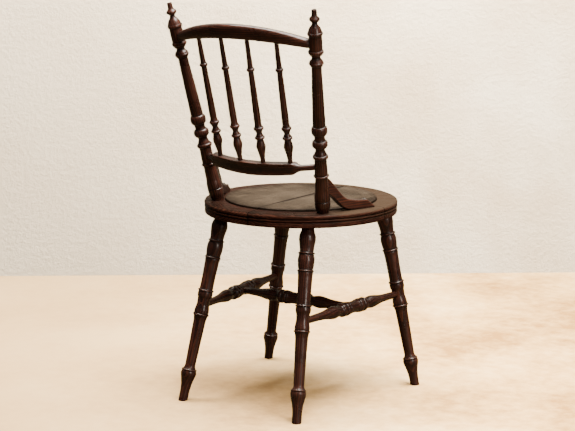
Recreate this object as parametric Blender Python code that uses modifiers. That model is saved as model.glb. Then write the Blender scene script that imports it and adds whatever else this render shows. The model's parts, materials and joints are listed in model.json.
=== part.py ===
"""A dining chair with a round seat, turned legs and a raked back of turned spindles.

The floor is z = 0, the chair faces -Y, and "left" and "right" are the sitter's own.
Run it with: blender --background --python part.py
"""

import math

import bmesh
import bpy
from mathutils import Vector

MM = 0.001
SIDES = {"left": 1, "right": -1}  # the sign of x on each side
GAP = 0.3 * MM  # clearance between a piece and the one that it sits in or on
SOCKET_PLAY = 0.7 * MM  # by which a faceted socket is wider than its tenon
BREAKOUT = 30.0 * MM  # by which a bore's cutter starts outside the piece
SMOOTH_ANGLE = math.radians(40)
FLAT_ANGLE = math.radians(30)

# Seat. Heights are above the floor, and plan positions are from the seat's centre.
SEAT_CENTRE_Y = -24.8 * MM  # puts the whole chair's box in the middle of the frame
SEAT_TOP = 438.0 * MM
RIM_THICKNESS = 28.5 * MM
RIM_RADIUS = 217.5 * MM
RIM_INNER_RADIUS = 150.0 * MM
RIM_STEPS = 14
RIM_OVERSWEEP = 8  # degrees of sweep past each joint, before it is trimmed
RIM_RABBET_RADIUS = 171.0 * MM
PANEL_RADIUS = 170.0 * MM
PANEL_RISE = 4.5 * MM
PANEL_SEAT_DEPTH = 7.5 * MM
PANEL_ROUNDING = 2.0 * MM
PANEL_SPLIT_X = -5.0 * MM
PANEL_SPLIT = 0.8 * MM
PANEL_SCREW_RADIUS = 160.0 * MM
PANEL_SCREW_ANGLES = (65, 115, 245, 295)
PANEL_SCREW_COVER = 4.0 * MM  # wood left above a screw's end

# Each joint of the rim runs straight across it, a little skewed: inner and outer angles.
RIM_JOINTS = {"rear": (89.6, 92.4), "right": (187.5, 181.8), "front": (269.6, 272.4), "left": (7.5, 1.8)}
TONGUE = (24.0 * MM, 34.0 * MM, 6.0 * MM)
TONGUE_RADIUS = 184.0 * MM
TONGUE_DEPTH = 18.0 * MM

# Back. It leans back from the post feet, and the posts spread in its plane.
POST_FOOT = (140.8 * MM, 122.4 * MM)
POST_LENGTH = 457.8 * MM
POST_PLUG = 19.0 * MM
POST_PLUG_RADIUS = 12.8 * MM
POST_SCREW_SUNK = 1.0 * MM
POST_SCREW_REACH = 12.0 * MM
BACK_RAKE = math.radians(13.6)
POST_SPREAD = math.radians(5.97)

CREST_HEIGHT = 380.0 * MM  # of its ends, along the back, above the seat
CREST_ARCH = 33.0 * MM
CREST_BOW = 38.5 * MM
CREST_DEPTH = 31.5 * MM
CREST_THICKNESS = 18.0 * MM
CREST_TENON_RADIUS = 6.4 * MM
CREST_TAPER_LENGTH = 200.0 * MM  # half length of the ellipse that its height follows
CREST_SHOULDER = 15.2 * MM  # from a post's axis
CREST_STATIONS = 8
CREST_SQUARENESS = 0.65
RAIL_STEP = 0.5 * MM

LOWER_RAIL_HEIGHT = 107.5 * MM
LOWER_RAIL_BOW = 40.0 * MM
LOWER_RAIL_DEPTH = 26.0 * MM
LOWER_RAIL_THICKNESS = 17.0 * MM
LOWER_RAIL_NECK_RADIUS = 6.7 * MM
LOWER_RAIL_BODY = {"left": 118.0 * MM, "right": 98.0 * MM}  # its deep part, from the middle
LOWER_RAIL_SHOULDER = 14.0 * MM
LOWER_RAIL_BELLY = 1.5 * MM
LOWER_RAIL_HOLLOW = (0.6, 0.35, 0.8)  # shares of the shoulder's length and depth, and squareness
LOWER_RAIL_SQUARENESS = 0.45

RAIL_END_SHORT = 2.0 * MM  # of the post's axis
RAIL_BORE_CLEARANCE = 0.6 * MM
SPINDLE_TENON = 10.0 * MM
SPINDLES = {"left_outer": (92.4, 101.7), "left_inner": (30.2, 34.1)}  # x at foot and head, mm
SPINDLES.update({"right_inner": (-30.2, -34.1), "right_outer": (-92.4, -101.7)})

# Braces from the posts down to the rim, laid out in their own upright plane.
BRACE_POST_END = (147.7 * MM, 131.0 * MM)
BRACE_TIPS = {"left": (201.8 * MM, 9.5 * MM), "right": (189.7 * MM, -3.2 * MM)}  # x is to each side
BRACE_WIDTH = 17.0 * MM
# Both edges of a brace in mm: along it from the post, and above the seat. The foot starts at the
# heel, and its last marks are measured back from the tip.
BRACE_OVER = [(-8, 84), (3.3, 80), (9.7, 76), (17, 69.5), (28, 57.2), (36, 48.6), (43.9, 40.6), (50, 34.6)]
BRACE_OVER += [(56.7, 29.4), (62, 26.6), (69.4, 24.4), (80, 22.2), (92, 20.5)]
BRACE_OVER_TIP = [(-32.0, 19.2), (-21.0, 18.6), (0.0, 2.2)]
BRACE_UNDER = [(-4, 47), (9.7, 41.5), (21.7, 34.8), (28, 29.8), (34, 24.2), (40.7, 17.8), (48.7, 11.0)]
BRACE_UNDER += [(57, 6.2), (66, 3.4), (92, 0.9)]
BRACE_UNDER_TIP = [(-30.0, 0.3), (0.0, 0.3)]
BRACE_SEAT_SCREW = 26.5 * MM  # from the tip
BRACE_SEAT_SCREW_LENGTH = 34.0 * MM
BRACE_POST_SCREW_LEVEL = 52.0 * MM  # above the seat
BRACE_POST_SCREW_HEAD = 26.0 * MM  # along the brace
BRACE_POST_SCREW_LENGTH = 34.0 * MM
BRACE_POST_STRETCH = (30, 130)  # the part of the post's outline that it may meet, in mm

# Legs, from the rim's underside to the floor: (x, y) of the axis at the top and bottom.
LEG_AXES = {"rear": ((115.9 * MM, 141.8 * MM), (153.9 * MM, 240.7 * MM))}
LEG_AXES["front"] = ((134.8 * MM, -131.6 * MM), (206.5 * MM, -163.5 * MM))
LEG_PLUG = 17.5 * MM
LEG_PLUG_RADIUS = 12.3 * MM
STRETCHER_HEIGHTS = {"rear": 210.0 * MM, "front": 213.0 * MM}
STRETCHER_PLUG = 2.0 * MM
LEG_OVERLENGTH = 8.0  # mm of foot that the level cut at the floor takes off
FLOOR_CUT = (100.0 * MM, 100.0 * MM, 40.0 * MM)

SCREW_RADIUS = 2.0 * MM
SCREW_HEAD_RADIUS = 3.8 * MM
SCREW_HEAD_HEIGHT = 2.2 * MM
SCREW_DOME, SCREW_SHOULDER, SCREW_TIP = 0.55, 0.93, 0.3  # shares of the head's and shank's radii
SCREW_NECK, SCREW_POINT = 0.01, 4.0  # in mm

TURNED_STEPS = 12
SLIM_STEPS = 10
SOCKET_SIDES = 14

# Turned outlines: (distance along the piece, radius) in millimetres.
LEG_OUTLINE = [(3.5, 12.3), (8, 13.6), (14, 15.4), (20, 17.4), (27, 18.3), (36, 17.5), (46, 15.9)]
LEG_OUTLINE += [(56, 15.6), (59, 18.7), (62, 16.5), (72, 18.0), (82, 17.6), (94, 16.4), (97, 18.3)]
LEG_OUTLINE += [(100, 16.8), (112, 15.8), (140, 14.9), (169, 15.2), (172, 18.0), (175, 16.4)]
LEG_OUTLINE += [(184, 16.4), (190, 14.8), (203, 14.1), (214, 15.8), (224, 16.4), (227, 18.1)]
LEG_OUTLINE += [(230, 15.9), (241, 14.0), (296, 12.6), (342, 11.5), (349, 13.4), (355, 16.6)]
LEG_OUTLINE += [(361, 17.3), (367, 16.4), (378, 13.5), (388, 11.7), (400, 10.5)]
LEG_FOOT_RADIUS = 10.3

POST_OUTLINE = [(3.5, 12.8), (9, 15.0), (16, 16.8), (28, 16.9), (29.5, 16.0), (31, 16.9), (38, 16.9)]
POST_OUTLINE += [(50, 15.0), (78, 13.7), (84, 14.2), (87, 16.8), (90, 14.6), (108, 13.6), (126, 13.4)]
POST_OUTLINE += [(128, 16.4), (134, 16.6), (140, 12.4), (146, 10.1), (152, 13.0), (160, 17.1)]
POST_OUTLINE += [(168, 13.0), (175, 11.1), (182, 14.6), (191, 17.5), (199, 14.4), (204, 13.7)]
POST_OUTLINE += [(229, 13.0), (283, 12.0), (333, 10.8), (337, 14.0), (341, 15.7), (346, 14.2)]
POST_OUTLINE += [(354, 9.0), (359, 12.4), (366, 16.5), (373, 14.6), (398, 14.0), (402, 16.3)]
POST_OUTLINE += [(408, 16.4), (416, 12.7), (424, 7.3), (429, 5.8), (433, 9.2), (437, 11.3)]
POST_OUTLINE += [(441, 9.0), (445, 6.1), (457.8, 5.6)]

SPINDLE_OUTLINE = [(0, 4.5), (12, 5.2), (22, 7.2), (30, 9.3), (36, 10.2), (42, 9.4), (52, 7.2)]
SPINDLE_OUTLINE += [(56.5, 11.1), (61, 8.6), (66.5, 6.0), (72, 8.0), (77.5, 11.0), (83, 8.4)]
SPINDLE_OUTLINE += [(87, 7.3), (94, 7.7), (150, 6.9), (204, 6.0), (208.5, 8.8), (213, 6.4)]
SPINDLE_HEAD_RADIUS = 4.7 * MM
SPINDLE_FOOT_RADIUS = 4.4 * MM

# Half a stretcher, from its middle outwards.
STRETCHER_OUTLINE = [(0, 13.1), (9, 13.4), (17, 14.5), (23, 15.8), (30, 15.0), (37, 15.8), (42, 13.8)]
STRETCHER_OUTLINE += [(48, 11.4), (57, 13.2), (66, 14.2), (76, 13.2), (93, 10.4), (110, 8.7)]
STRETCHER_NECK, STRETCHER_NECK_SWELL = 24.0, 0.5  # from its end, and over its end's radius, in mm
STRETCHER_END_RADIUS = 7.6 * MM
CROSS_END_RADIUS = 6.8 * MM

WOOD = (0.060, 0.022, 0.012)
PANEL_WOOD = (0.165, 0.120, 0.090)
STEEL = (0.32, 0.31, 0.29)


# ---------------------------------------------------------------- scene and materials


def clear_scene():
    for old in list(bpy.data.objects):
        bpy.data.objects.remove(old, do_unlink=True)


def new_collection(name):
    collection = bpy.data.collections.new(name)
    bpy.context.scene.collection.children.link(collection)
    return collection


def new_material(name, colour, roughness, metallic=0.0):
    material = bpy.data.materials.new(name)
    material.use_nodes = True
    shader = material.node_tree.nodes["Principled BSDF"]
    shader.inputs["Base Color"].default_value = (*colour, 1.0)
    shader.inputs["Roughness"].default_value = roughness
    shader.inputs["Metallic"].default_value = metallic
    return material


def new_object(name, mesh, material=None, collection=None):
    """Links a mesh as a part of the chair, in seat coordinates."""
    if material and not mesh.materials:
        mesh.materials.append(material)
    piece = bpy.data.objects.new(name, mesh)
    (collection or PARTS).objects.link(piece)
    piece.parent = ROOT
    return piece


def mesh_from(bm, name):
    bmesh.ops.recalc_face_normals(bm, faces=bm.faces)
    mesh = bpy.data.meshes.new(name)
    bm.to_mesh(mesh)
    bm.free()
    return mesh


def stand_along(piece, start, end):
    """Puts a piece's own origin at start and turns its +Z towards end."""
    start, end = Vector(start), Vector(end)
    piece.rotation_mode = "QUATERNION"
    piece.rotation_quaternion = (end - start).to_track_quat("Z", "Y")
    piece.location = start


def smooth(mesh, angle=SMOOTH_ANGLE):
    mesh.shade_smooth()
    mesh.set_sharp_from_angle(angle=angle)


# ---------------------------------------------------------------- turning and drilling


def turned_mesh(name, outline_mm):
    """A solid turned on its own Z axis. The outline runs upwards and is closed onto the axis."""
    bm = bmesh.new()
    points = [(0.0, outline_mm[-1][0])] + [(radius, along) for along, radius in reversed(outline_mm)]
    points.append((0.0, outline_mm[0][0]))
    verts = [bm.verts.new((radius * MM, 0.0, height * MM)) for radius, height in points]
    for upper, lower in zip(verts, verts[1:]):
        bm.edges.new((upper, lower))
    mesh = bpy.data.meshes.new(name)
    bm.to_mesh(mesh)
    bm.free()
    return mesh


def turned_piece(name, outline_mm, steps, material, collection=None):
    piece = new_object(name, turned_mesh(name, outline_mm), material, collection)
    screw = piece.modifiers.new("Turning", "SCREW")
    screw.axis = "Z"
    screw.steps = steps
    screw.render_steps = steps
    screw.use_merge_vertices = True
    screw.merge_threshold = 0.00001
    screw.use_smooth_shade = True
    return piece


def cutter_from(name, mesh):
    cutter = new_object(name, mesh, None, CUTTERS)
    cutter.hide_render = True
    cutter.display_type = "WIRE"
    return cutter


def cut(piece, cutter):
    boolean = piece.modifiers.new(cutter.name, "BOOLEAN")
    boolean.operation = "DIFFERENCE"
    boolean.solver = "EXACT"
    boolean.object = cutter


def drill(piece, start, end, radius, segments=12):
    """Bores a round hole in a piece, from start to end in seat coordinates."""
    start, end = Vector(start), Vector(end)
    length = (end - start).length
    bm = bmesh.new()
    bmesh.ops.create_cone(
        bm, cap_ends=True, segments=segments, radius1=radius, radius2=radius, depth=length
    )
    bmesh.ops.translate(bm, verts=bm.verts, vec=(0.0, 0.0, length / 2))
    hole = cutter_from(piece.name + "_hole", mesh_from(bm, piece.name + "_hole"))
    stand_along(hole, start, end)
    cut(piece, hole)


def box_mesh(name, size):
    bm = bmesh.new()
    bmesh.ops.create_cube(bm, size=1.0)
    bmesh.ops.scale(bm, verts=bm.verts, vec=size)
    return mesh_from(bm, name)


def screw_piece(name, head, tip):
    """A screw whose head's underside is at head and whose end is at tip."""
    length = (Vector(tip) - Vector(head)).length / MM
    shank, rim = SCREW_RADIUS / MM, SCREW_HEAD_RADIUS / MM
    tall = SCREW_HEAD_HEIGHT / MM
    outline = [(-tall, rim * SCREW_DOME), (-tall * SCREW_DOME, rim * SCREW_SHOULDER), (0.0, rim)]
    outline += [(SCREW_NECK, shank), (length - SCREW_POINT, shank), (length, shank * SCREW_TIP)]
    piece = turned_piece(name, outline, SLIM_STEPS, STEEL_FINISH)
    stand_along(piece, head, tip)
    return piece


# ---------------------------------------------------------------- positions


def on_circle(radius, degrees, height):
    angle = math.radians(degrees)
    return Vector((radius * math.cos(angle), radius * math.sin(angle), height))


def back_point(x, up, behind=0.0):
    """A point of the back: x across, up along its rake from the seat, and behind its plane."""
    y = POST_FOOT[1] + up * math.sin(BACK_RAKE) + behind * math.cos(BACK_RAKE)
    z = SEAT_TOP + up * math.cos(BACK_RAKE) - behind * math.sin(BACK_RAKE)
    return Vector((x, y, z))


def post_point(side, along):
    """A point on a post's axis. side is +1 for the left post and -1 for the right one."""
    across = POST_FOOT[0] + along * math.sin(POST_SPREAD)
    return back_point(side * across, along * math.cos(POST_SPREAD))


def arc_rise(x, half_span, sagitta):
    """How far a shallow arc through (+-half_span, 0) has risen at x."""
    radius = (half_span**2 + sagitta**2) / (2 * sagitta)
    return sagitta - radius + math.sqrt(radius**2 - x**2)


def leg_point(side, end, height):
    """The point of a leg's axis at a height above the floor. end is rear or front."""
    top, foot = LEG_AXES[end]
    share = height / (SEAT_TOP - RIM_THICKNESS)
    x, y = (foot[i] + (top[i] - foot[i]) * share for i in (0, 1))
    return Vector((side * x, y, height))


def post_x_at(up):
    return POST_FOOT[0] + up * math.tan(POST_SPREAD)


# ---------------------------------------------------------------- seat


def rim_section():
    """The rim's section: rabbet for the panel inside, and a moulded edge outside."""
    inner, ledge, outer = RIM_INNER_RADIUS, RIM_RABBET_RADIUS, RIM_RADIUS
    section = [(inner, -RIM_THICKNESS), (inner, -PANEL_SEAT_DEPTH), (ledge, -PANEL_SEAT_DEPTH), (ledge, 0.0)]
    edge = [(-5.0, 0.0), (-1.5, -1.5), (0.0, -5.0), (-0.2, -8.5), (-2.2, -9.0), (-2.2, -11.0)]
    edge += [(-0.4, -11.5), (-0.4, -15.0), (-2.2, -15.5), (-2.2, -17.5), (-1.0, -18.0), (-1.0, -28.5)]
    return section + [(outer + r * MM, z * MM) for r, z in edge]


def rim_segment(name, start_joint, end_joint):
    """A quarter of the rim, swept round the seat and trimmed square down at its two joints."""
    joints = [RIM_JOINTS[start_joint], RIM_JOINTS[end_joint]]
    if joints[1][0] < joints[0][0]:
        joints[1] = tuple(angle + 360 for angle in joints[1])
    first, last = min(joints[0]) - RIM_OVERSWEEP, max(joints[1]) + RIM_OVERSWEEP
    bm = bmesh.new()
    verts = [bm.verts.new(on_circle(r, first, SEAT_TOP + z)) for r, z in rim_section()]
    edges = [bm.edges.new(pair) for pair in zip(verts, verts[1:] + verts[:1])]
    bmesh.ops.spin(
        bm, geom=verts + edges, cent=(0, 0, 0), axis=(0, 0, 1), dvec=(0, 0, 0),
        angle=math.radians(last - first), steps=RIM_STEPS, use_merge=False, use_duplicate=False,
    )
    for joint, keep in ((joints[0], 1), (joints[1], -1)):
        inner = on_circle(RIM_INNER_RADIUS, joint[0], 0.0)
        outer = on_circle(RIM_RADIUS, joint[1], 0.0)
        along = (outer - inner).normalized()
        normal = Vector((-along.y, along.x, 0.0)) * keep
        geometry = bm.verts[:] + bm.edges[:] + bm.faces[:]
        bmesh.ops.bisect_plane(
            bm, geom=geometry, plane_co=inner + normal * GAP / 2, plane_no=normal, clear_inner=True
        )
    bmesh.ops.holes_fill(bm, edges=[edge for edge in bm.edges if edge.is_boundary])
    mesh = mesh_from(bm, name)
    smooth(mesh, FLAT_ANGLE)
    return new_object(name, mesh, WOOD_FINISH)


def make_tongue(name, joint, segments):
    """A loose tongue across a joint of the rim, and the slot for it in both segments."""
    angle = sum(RIM_JOINTS[joint]) / 2
    place = on_circle(TONGUE_RADIUS, angle, SEAT_TOP - TONGUE_DEPTH)
    tongue = new_object(name, box_mesh(name, (TONGUE[1], TONGUE[0], TONGUE[2])), WOOD_FINISH)
    slot_size = (TONGUE[1] + 2 * GAP, TONGUE[0] + 2 * GAP, TONGUE[2] + 2 * GAP)
    slot = cutter_from(name + "_slot", box_mesh(name + "_slot", slot_size))
    for block in (tongue, slot):
        block.location = place
        block.rotation_euler = (0.0, 0.0, math.radians(angle))
    for segment in segments:
        cut(segment, slot)


def panel_half(name, side):
    """Half of the round seat panel, split front to back, with a rounded top edge."""
    thickness = PANEL_RISE + PANEL_SEAT_DEPTH - GAP
    bm = bmesh.new()
    bmesh.ops.create_cone(
        bm, cap_ends=True, segments=48, radius1=PANEL_RADIUS, radius2=PANEL_RADIUS, depth=thickness
    )
    middle = SEAT_TOP + PANEL_RISE - thickness / 2
    bmesh.ops.translate(bm, verts=bm.verts, vec=(0.0, 0.0, middle))
    top = middle + thickness / 2
    edges = [edge for edge in bm.edges if all(abs(vert.co.z - top) < GAP for vert in edge.verts)]
    bmesh.ops.bevel(bm, geom=edges, offset=PANEL_ROUNDING, segments=2, profile=0.5, affect="EDGES")
    bmesh.ops.bisect_plane(
        bm, geom=bm.verts[:] + bm.edges[:] + bm.faces[:],
        plane_co=(PANEL_SPLIT_X + side * PANEL_SPLIT / 2, 0, 0), plane_no=(side, 0, 0), clear_inner=True,
    )
    bmesh.ops.holes_fill(bm, edges=[edge for edge in bm.edges if edge.is_boundary])
    mesh = mesh_from(bm, name)
    smooth(mesh, FLAT_ANGLE)
    return new_object(name, mesh, PANEL_FINISH)


def make_seat():
    """The rim's four segments with their loose tongues, the panel's halves and its screws."""
    rims = {
        "rear_right": rim_segment("rim_rear_right", "rear", "right"),
        "front_right": rim_segment("rim_front_right", "right", "front"),
        "front_left": rim_segment("rim_front_left", "front", "left"),
        "rear_left": rim_segment("rim_rear_left", "left", "rear"),
    }
    make_tongue("rim_tongue_rear", "rear", (rims["rear_right"], rims["rear_left"]))
    make_tongue("rim_tongue_right", "right", (rims["rear_right"], rims["front_right"]))
    make_tongue("rim_tongue_front", "front", (rims["front_right"], rims["front_left"]))
    make_tongue("rim_tongue_left", "left", (rims["front_left"], rims["rear_left"]))
    panels = {"left": panel_half("panel_left", 1), "right": panel_half("panel_right", -1)}
    for number, angle in enumerate(PANEL_SCREW_ANGLES, 1):
        side = "left" if math.cos(math.radians(angle)) > 0 else "right"
        end = "rear" if math.sin(math.radians(angle)) > 0 else "front"
        rim, panel = rims[f"{end}_{side}"], panels[side]
        head = on_circle(PANEL_SCREW_RADIUS, angle, SEAT_TOP - RIM_THICKNESS - GAP)
        tip = on_circle(PANEL_SCREW_RADIUS, angle, SEAT_TOP + PANEL_RISE - PANEL_SCREW_COVER)
        screw_piece(f"panel_screw_{number}", head, tip)
        beyond = (tip - head).normalized() * GAP
        for piece in (rim, panel):
            drill(piece, head - beyond * 4, tip + beyond, SCREW_RADIUS + GAP, SLIM_STEPS)
    return rims


# ---------------------------------------------------------------- legs and stretchers


def make_legs(rims):
    """Four splayed legs. Each plugs into the rim from below and is cut level with the floor."""
    legs = {}
    underside = SEAT_TOP - RIM_THICKNESS
    for end in ("rear", "front"):
        for word, side in SIDES.items():
            top, foot = leg_point(side, end, underside), leg_point(side, end, 0.0)
            down = (foot - top).normalized()
            length_mm = (foot - top).length / MM + LEG_OVERLENGTH
            outline = [(-LEG_PLUG / MM, LEG_PLUG_RADIUS / MM)] + LEG_OUTLINE + [(length_mm, LEG_FOOT_RADIUS)]
            leg = turned_piece(f"leg_{end}_{word}", outline, TURNED_STEPS, WOOD_FINISH)
            stand_along(leg, top, foot)
            floor = cutter_from(leg.name + "_floor", box_mesh("floor_cut", FLOOR_CUT))
            floor.location = foot - Vector((0.0, 0.0, FLOOR_CUT[2] / 2))
            cut(leg, floor)
            socket = LEG_PLUG_RADIUS + SOCKET_PLAY
            drill(
                rims[f"{end}_{word}"], top + down * BREAKOUT,
                top - down * (LEG_PLUG + GAP), socket, SOCKET_SIDES,
            )
            legs[end, word] = leg
    return legs


def stretcher_outline(length, end_radius, plug):
    """A whole stretcher's outline from the half one, with plain ends that plug in."""
    half_mm, end_mm = length / 2 / MM, end_radius / MM
    neck = (half_mm - STRETCHER_NECK, end_mm + STRETCHER_NECK_SWELL)
    right = STRETCHER_OUTLINE[1:] + [neck, (half_mm + plug / MM, end_mm)]
    left = [(-along, radius) for along, radius in reversed(right)]
    return [(half_mm + along, radius) for along, radius in left + STRETCHER_OUTLINE[:1] + right]


def make_stretchers(legs):
    """A stretcher on each side and one across between their middles."""
    middles, sides = {}, {}
    for word, side in SIDES.items():
        rear = leg_point(side, "rear", STRETCHER_HEIGHTS["rear"])
        front = leg_point(side, "front", STRETCHER_HEIGHTS["front"])
        outline = stretcher_outline((front - rear).length, STRETCHER_END_RADIUS, STRETCHER_PLUG)
        stretcher = turned_piece(f"stretcher_{word}", outline, TURNED_STEPS, WOOD_FINISH)
        stand_along(stretcher, rear, front)
        along = (front - rear).normalized()
        for end, point, outwards in (("rear", rear, -along), ("front", front, along)):
            drill(
                legs[end, word], point - outwards * BREAKOUT,
                point + outwards * (STRETCHER_PLUG + GAP), STRETCHER_END_RADIUS + SOCKET_PLAY,
            )
        middles[side] = (rear + front) / 2
        sides[side] = stretcher
    span = middles[-1] - middles[1]
    outline = stretcher_outline(span.length, CROSS_END_RADIUS, STRETCHER_PLUG)
    cross = turned_piece("stretcher_cross", outline, TURNED_STEPS, WOOD_FINISH)
    stand_along(cross, middles[1], middles[-1])
    for side in (1, -1):
        outwards = span.normalized() * -side
        drill(
            sides[side], middles[side] - outwards * BREAKOUT,
            middles[side] + outwards * (STRETCHER_PLUG + GAP), CROSS_END_RADIUS + SOCKET_PLAY,
        )


# ---------------------------------------------------------------- back


def make_posts(rims):
    """Two turned posts with finials, each plugged into the rim and screwed from below."""
    posts = {}
    for word, side in SIDES.items():
        foot, top = post_point(side, 0.0), post_point(side, POST_LENGTH)
        outline = [(-POST_PLUG / MM, POST_PLUG_RADIUS / MM)] + POST_OUTLINE
        post = turned_piece(f"post_{word}", outline, TURNED_STEPS, WOOD_FINISH)
        stand_along(post, foot, top)
        up = (top - foot).normalized()
        rim = rims[f"rear_{word}"]
        socket = POST_PLUG_RADIUS + SOCKET_PLAY
        drill(rim, foot + up * BREAKOUT, foot - up * (POST_PLUG + GAP), socket, SOCKET_SIDES)
        head = foot - up * (RIM_THICKNESS - POST_SCREW_SUNK)
        tip = foot + up * POST_SCREW_REACH
        screw_piece(f"post_screw_{word}", head, tip)
        drill(rim, head - up * BREAKOUT, head + up * GAP, SCREW_HEAD_RADIUS + GAP)
        drill(rim, head - up * GAP, tip, SCREW_RADIUS + GAP, SLIM_STEPS)
        drill(post, head, tip + up * GAP, SCREW_RADIUS + GAP, SLIM_STEPS)
        posts[side] = post
    return posts


def loft(name, stations):
    """A solid skinned over rings of points that all have the same count."""
    bm = bmesh.new()
    rings = [[bm.verts.new(point) for point in ring] for ring in stations]
    for near, far in zip(rings, rings[1:]):
        for i in range(len(near)):
            bm.faces.new((near[i - 1], near[i], far[i], far[i - 1]))
    bm.faces.new(rings[0])
    bm.faces.new(rings[-1])
    mesh = mesh_from(bm, name)
    smooth(mesh)
    return mesh


def oval_ring(centre, along, up_hint, half_up, half_across, squareness, count=12):
    """A ring round a rail: an ellipse at squareness 1, nearing a box as it falls to 0."""
    up = (up_hint - along * up_hint.dot(along)).normalized()
    across = along.cross(up)
    ring = []
    for i in range(count):
        turn = 2 * math.pi * (i + 0.5) / count
        c, s = math.cos(turn), math.sin(turn)
        wide = math.copysign(abs(c) ** squareness, c) * half_across
        tall = math.copysign(abs(s) ** squareness, s) * half_up
        ring.append(centre + across * wide + up * tall)
    return ring


def crest_centre(x):
    half = post_x_at(CREST_HEIGHT)
    up = CREST_HEIGHT + arc_rise(x, half, CREST_ARCH)
    return back_point(x, up, arc_rise(x, half, CREST_BOW))


def lower_rail_centre(x):
    half = post_x_at(LOWER_RAIL_HEIGHT)
    return back_point(x, LOWER_RAIL_HEIGHT, arc_rise(x, half, LOWER_RAIL_BOW))


def tangent(curve, x):
    return (curve(x + MM) - curve(x - MM)).normalized()


def crest_half_depth(x):
    return CREST_DEPTH / 2 * math.sqrt(1.0 - (x / CREST_TAPER_LENGTH) ** 2)


def crest_stations():
    """x, half depth, half thickness and squareness along half of the crest rail."""
    axis_x = post_x_at(CREST_HEIGHT)
    shoulder, end = axis_x - CREST_SHOULDER, axis_x - RAIL_END_SHORT
    for i in range(CREST_STATIONS + 1):
        x = shoulder * math.sin(math.pi / 2 * i / CREST_STATIONS)
        yield x, crest_half_depth(x), CREST_THICKNESS / 2, CREST_SQUARENESS
    for x in (shoulder + RAIL_STEP, end):
        yield x, CREST_TENON_RADIUS, CREST_TENON_RADIUS, 1.0


def whole_rail(left, right):
    """A whole rail's stations from those of its two halves, which start at the middle."""
    return [(-x, depth, thick, square) for x, depth, thick, square in reversed(right[1:])] + left


def make_crest(posts):
    """The bowed and arched top rail, oval in section, with round tenons in the posts."""
    up = back_point(0, 1) - back_point(0, 0)
    half = list(crest_stations())
    rings = [
        oval_ring(crest_centre(x), tangent(crest_centre, x), up, depth, thick, square)
        for x, depth, thick, square in whole_rail(half, half)
    ]
    crest = new_object("crest_rail", loft("crest_rail", rings), WOOD_FINISH)
    socket_rail_ends(crest_centre, half[-1][0], CREST_TENON_RADIUS, posts)
    return crest


def lower_rail_stations(body):
    """x, half depth, half thickness and squareness along half of the lower rail."""
    end = post_x_at(LOWER_RAIL_HEIGHT) - RAIL_END_SHORT
    neck = LOWER_RAIL_NECK_RADIUS
    depth, thick = LOWER_RAIL_DEPTH / 2, LOWER_RAIL_THICKNESS / 2
    for x in (0.0, body / 3, body * 2 / 3, body):
        yield x, depth + LOWER_RAIL_BELLY * (1 - x / body), thick, LOWER_RAIL_SQUARENESS
    part_way = neck + LOWER_RAIL_HOLLOW[1] * (depth - neck)
    yield body + LOWER_RAIL_HOLLOW[0] * LOWER_RAIL_SHOULDER, part_way, neck + RAIL_STEP, LOWER_RAIL_HOLLOW[2]
    yield body + LOWER_RAIL_SHOULDER, neck, neck, 1.0
    yield end, neck, neck, 1.0


def make_lower_rail(posts):
    """The bowed lower rail: a deep flat middle with shouldered round necks in the posts."""
    up = back_point(0, 1) - back_point(0, 0)
    left, right = (list(lower_rail_stations(LOWER_RAIL_BODY[word])) for word in SIDES)
    rings = []
    for x, depth, thick, square in whole_rail(left, right):
        centre = lower_rail_centre(x) - up * max(0.0, depth - LOWER_RAIL_DEPTH / 2)
        rings.append(oval_ring(centre, tangent(lower_rail_centre, x), up, depth, thick, square))
    rail = new_object("lower_rail", loft("lower_rail", rings), WOOD_FINISH)
    socket_rail_ends(lower_rail_centre, left[-1][0], LOWER_RAIL_NECK_RADIUS, posts)
    return rail


def socket_rail_ends(curve, end, radius, posts):
    """Bores each post where a rail's round end goes in."""
    for side in (1, -1):
        tip = curve(side * end)
        inwards = tangent(curve, side * end) * -side
        bottom = tip - inwards * RAIL_BORE_CLEARANCE
        drill(posts[side], tip + inwards * BREAKOUT, bottom, radius + SOCKET_PLAY)


def make_spindles(crest, rail):
    """Four turned spindles between the rails, let into both."""
    for word, (foot_x, head_x) in SPINDLES.items():
        foot = lower_rail_centre(foot_x * MM)
        head = crest_centre(head_x * MM)
        axis = (head - foot).normalized()
        foot += axis * LOWER_RAIL_DEPTH / 2
        length_mm = (head - foot).length / MM
        tenon_mm = SPINDLE_TENON / MM
        top_mm = length_mm - crest_half_depth(head_x * MM) / MM + tenon_mm
        outline = [(-tenon_mm, SPINDLE_FOOT_RADIUS / MM)] + SPINDLE_OUTLINE
        outline.append((top_mm, SPINDLE_HEAD_RADIUS / MM))
        spindle = turned_piece(f"spindle_{word}", outline, SLIM_STEPS, WOOD_FINISH)
        stand_along(spindle, foot, head)
        bottom, top = foot - axis * (SPINDLE_TENON + GAP), foot + axis * (top_mm * MM + GAP)
        drill(rail, foot + axis * BREAKOUT, bottom, SPINDLE_FOOT_RADIUS + SOCKET_PLAY, SLIM_STEPS)
        drill(crest, top - axis * BREAKOUT, top, SPINDLE_HEAD_RADIUS + SOCKET_PLAY, SLIM_STEPS)


# ---------------------------------------------------------------- braces


def brace_marks(first_mm, tip_mm, length_mm):
    """One edge of a brace: its marks from the post, then those measured back from the tip."""
    return first_mm + [(length_mm + back, height) for back, height in tip_mm]


def brace_outline(length_mm):
    """The whole outline of a brace, over and then back under, in metres."""
    over = brace_marks(BRACE_OVER, BRACE_OVER_TIP, length_mm)
    under = brace_marks(BRACE_UNDER, BRACE_UNDER_TIP, length_mm)
    return [Vector(mark) * MM for mark in over + under[::-1]]


def brace_place(word):
    """The plan direction of a brace, where its own plane starts, and its length."""
    side = SIDES[word]
    start = Vector((side * BRACE_POST_END[0], BRACE_POST_END[1], SEAT_TOP))
    tip = Vector((side * BRACE_TIPS[word][0], BRACE_TIPS[word][1], SEAT_TOP))
    return start, (tip - start).normalized(), (tip - start).length


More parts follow.
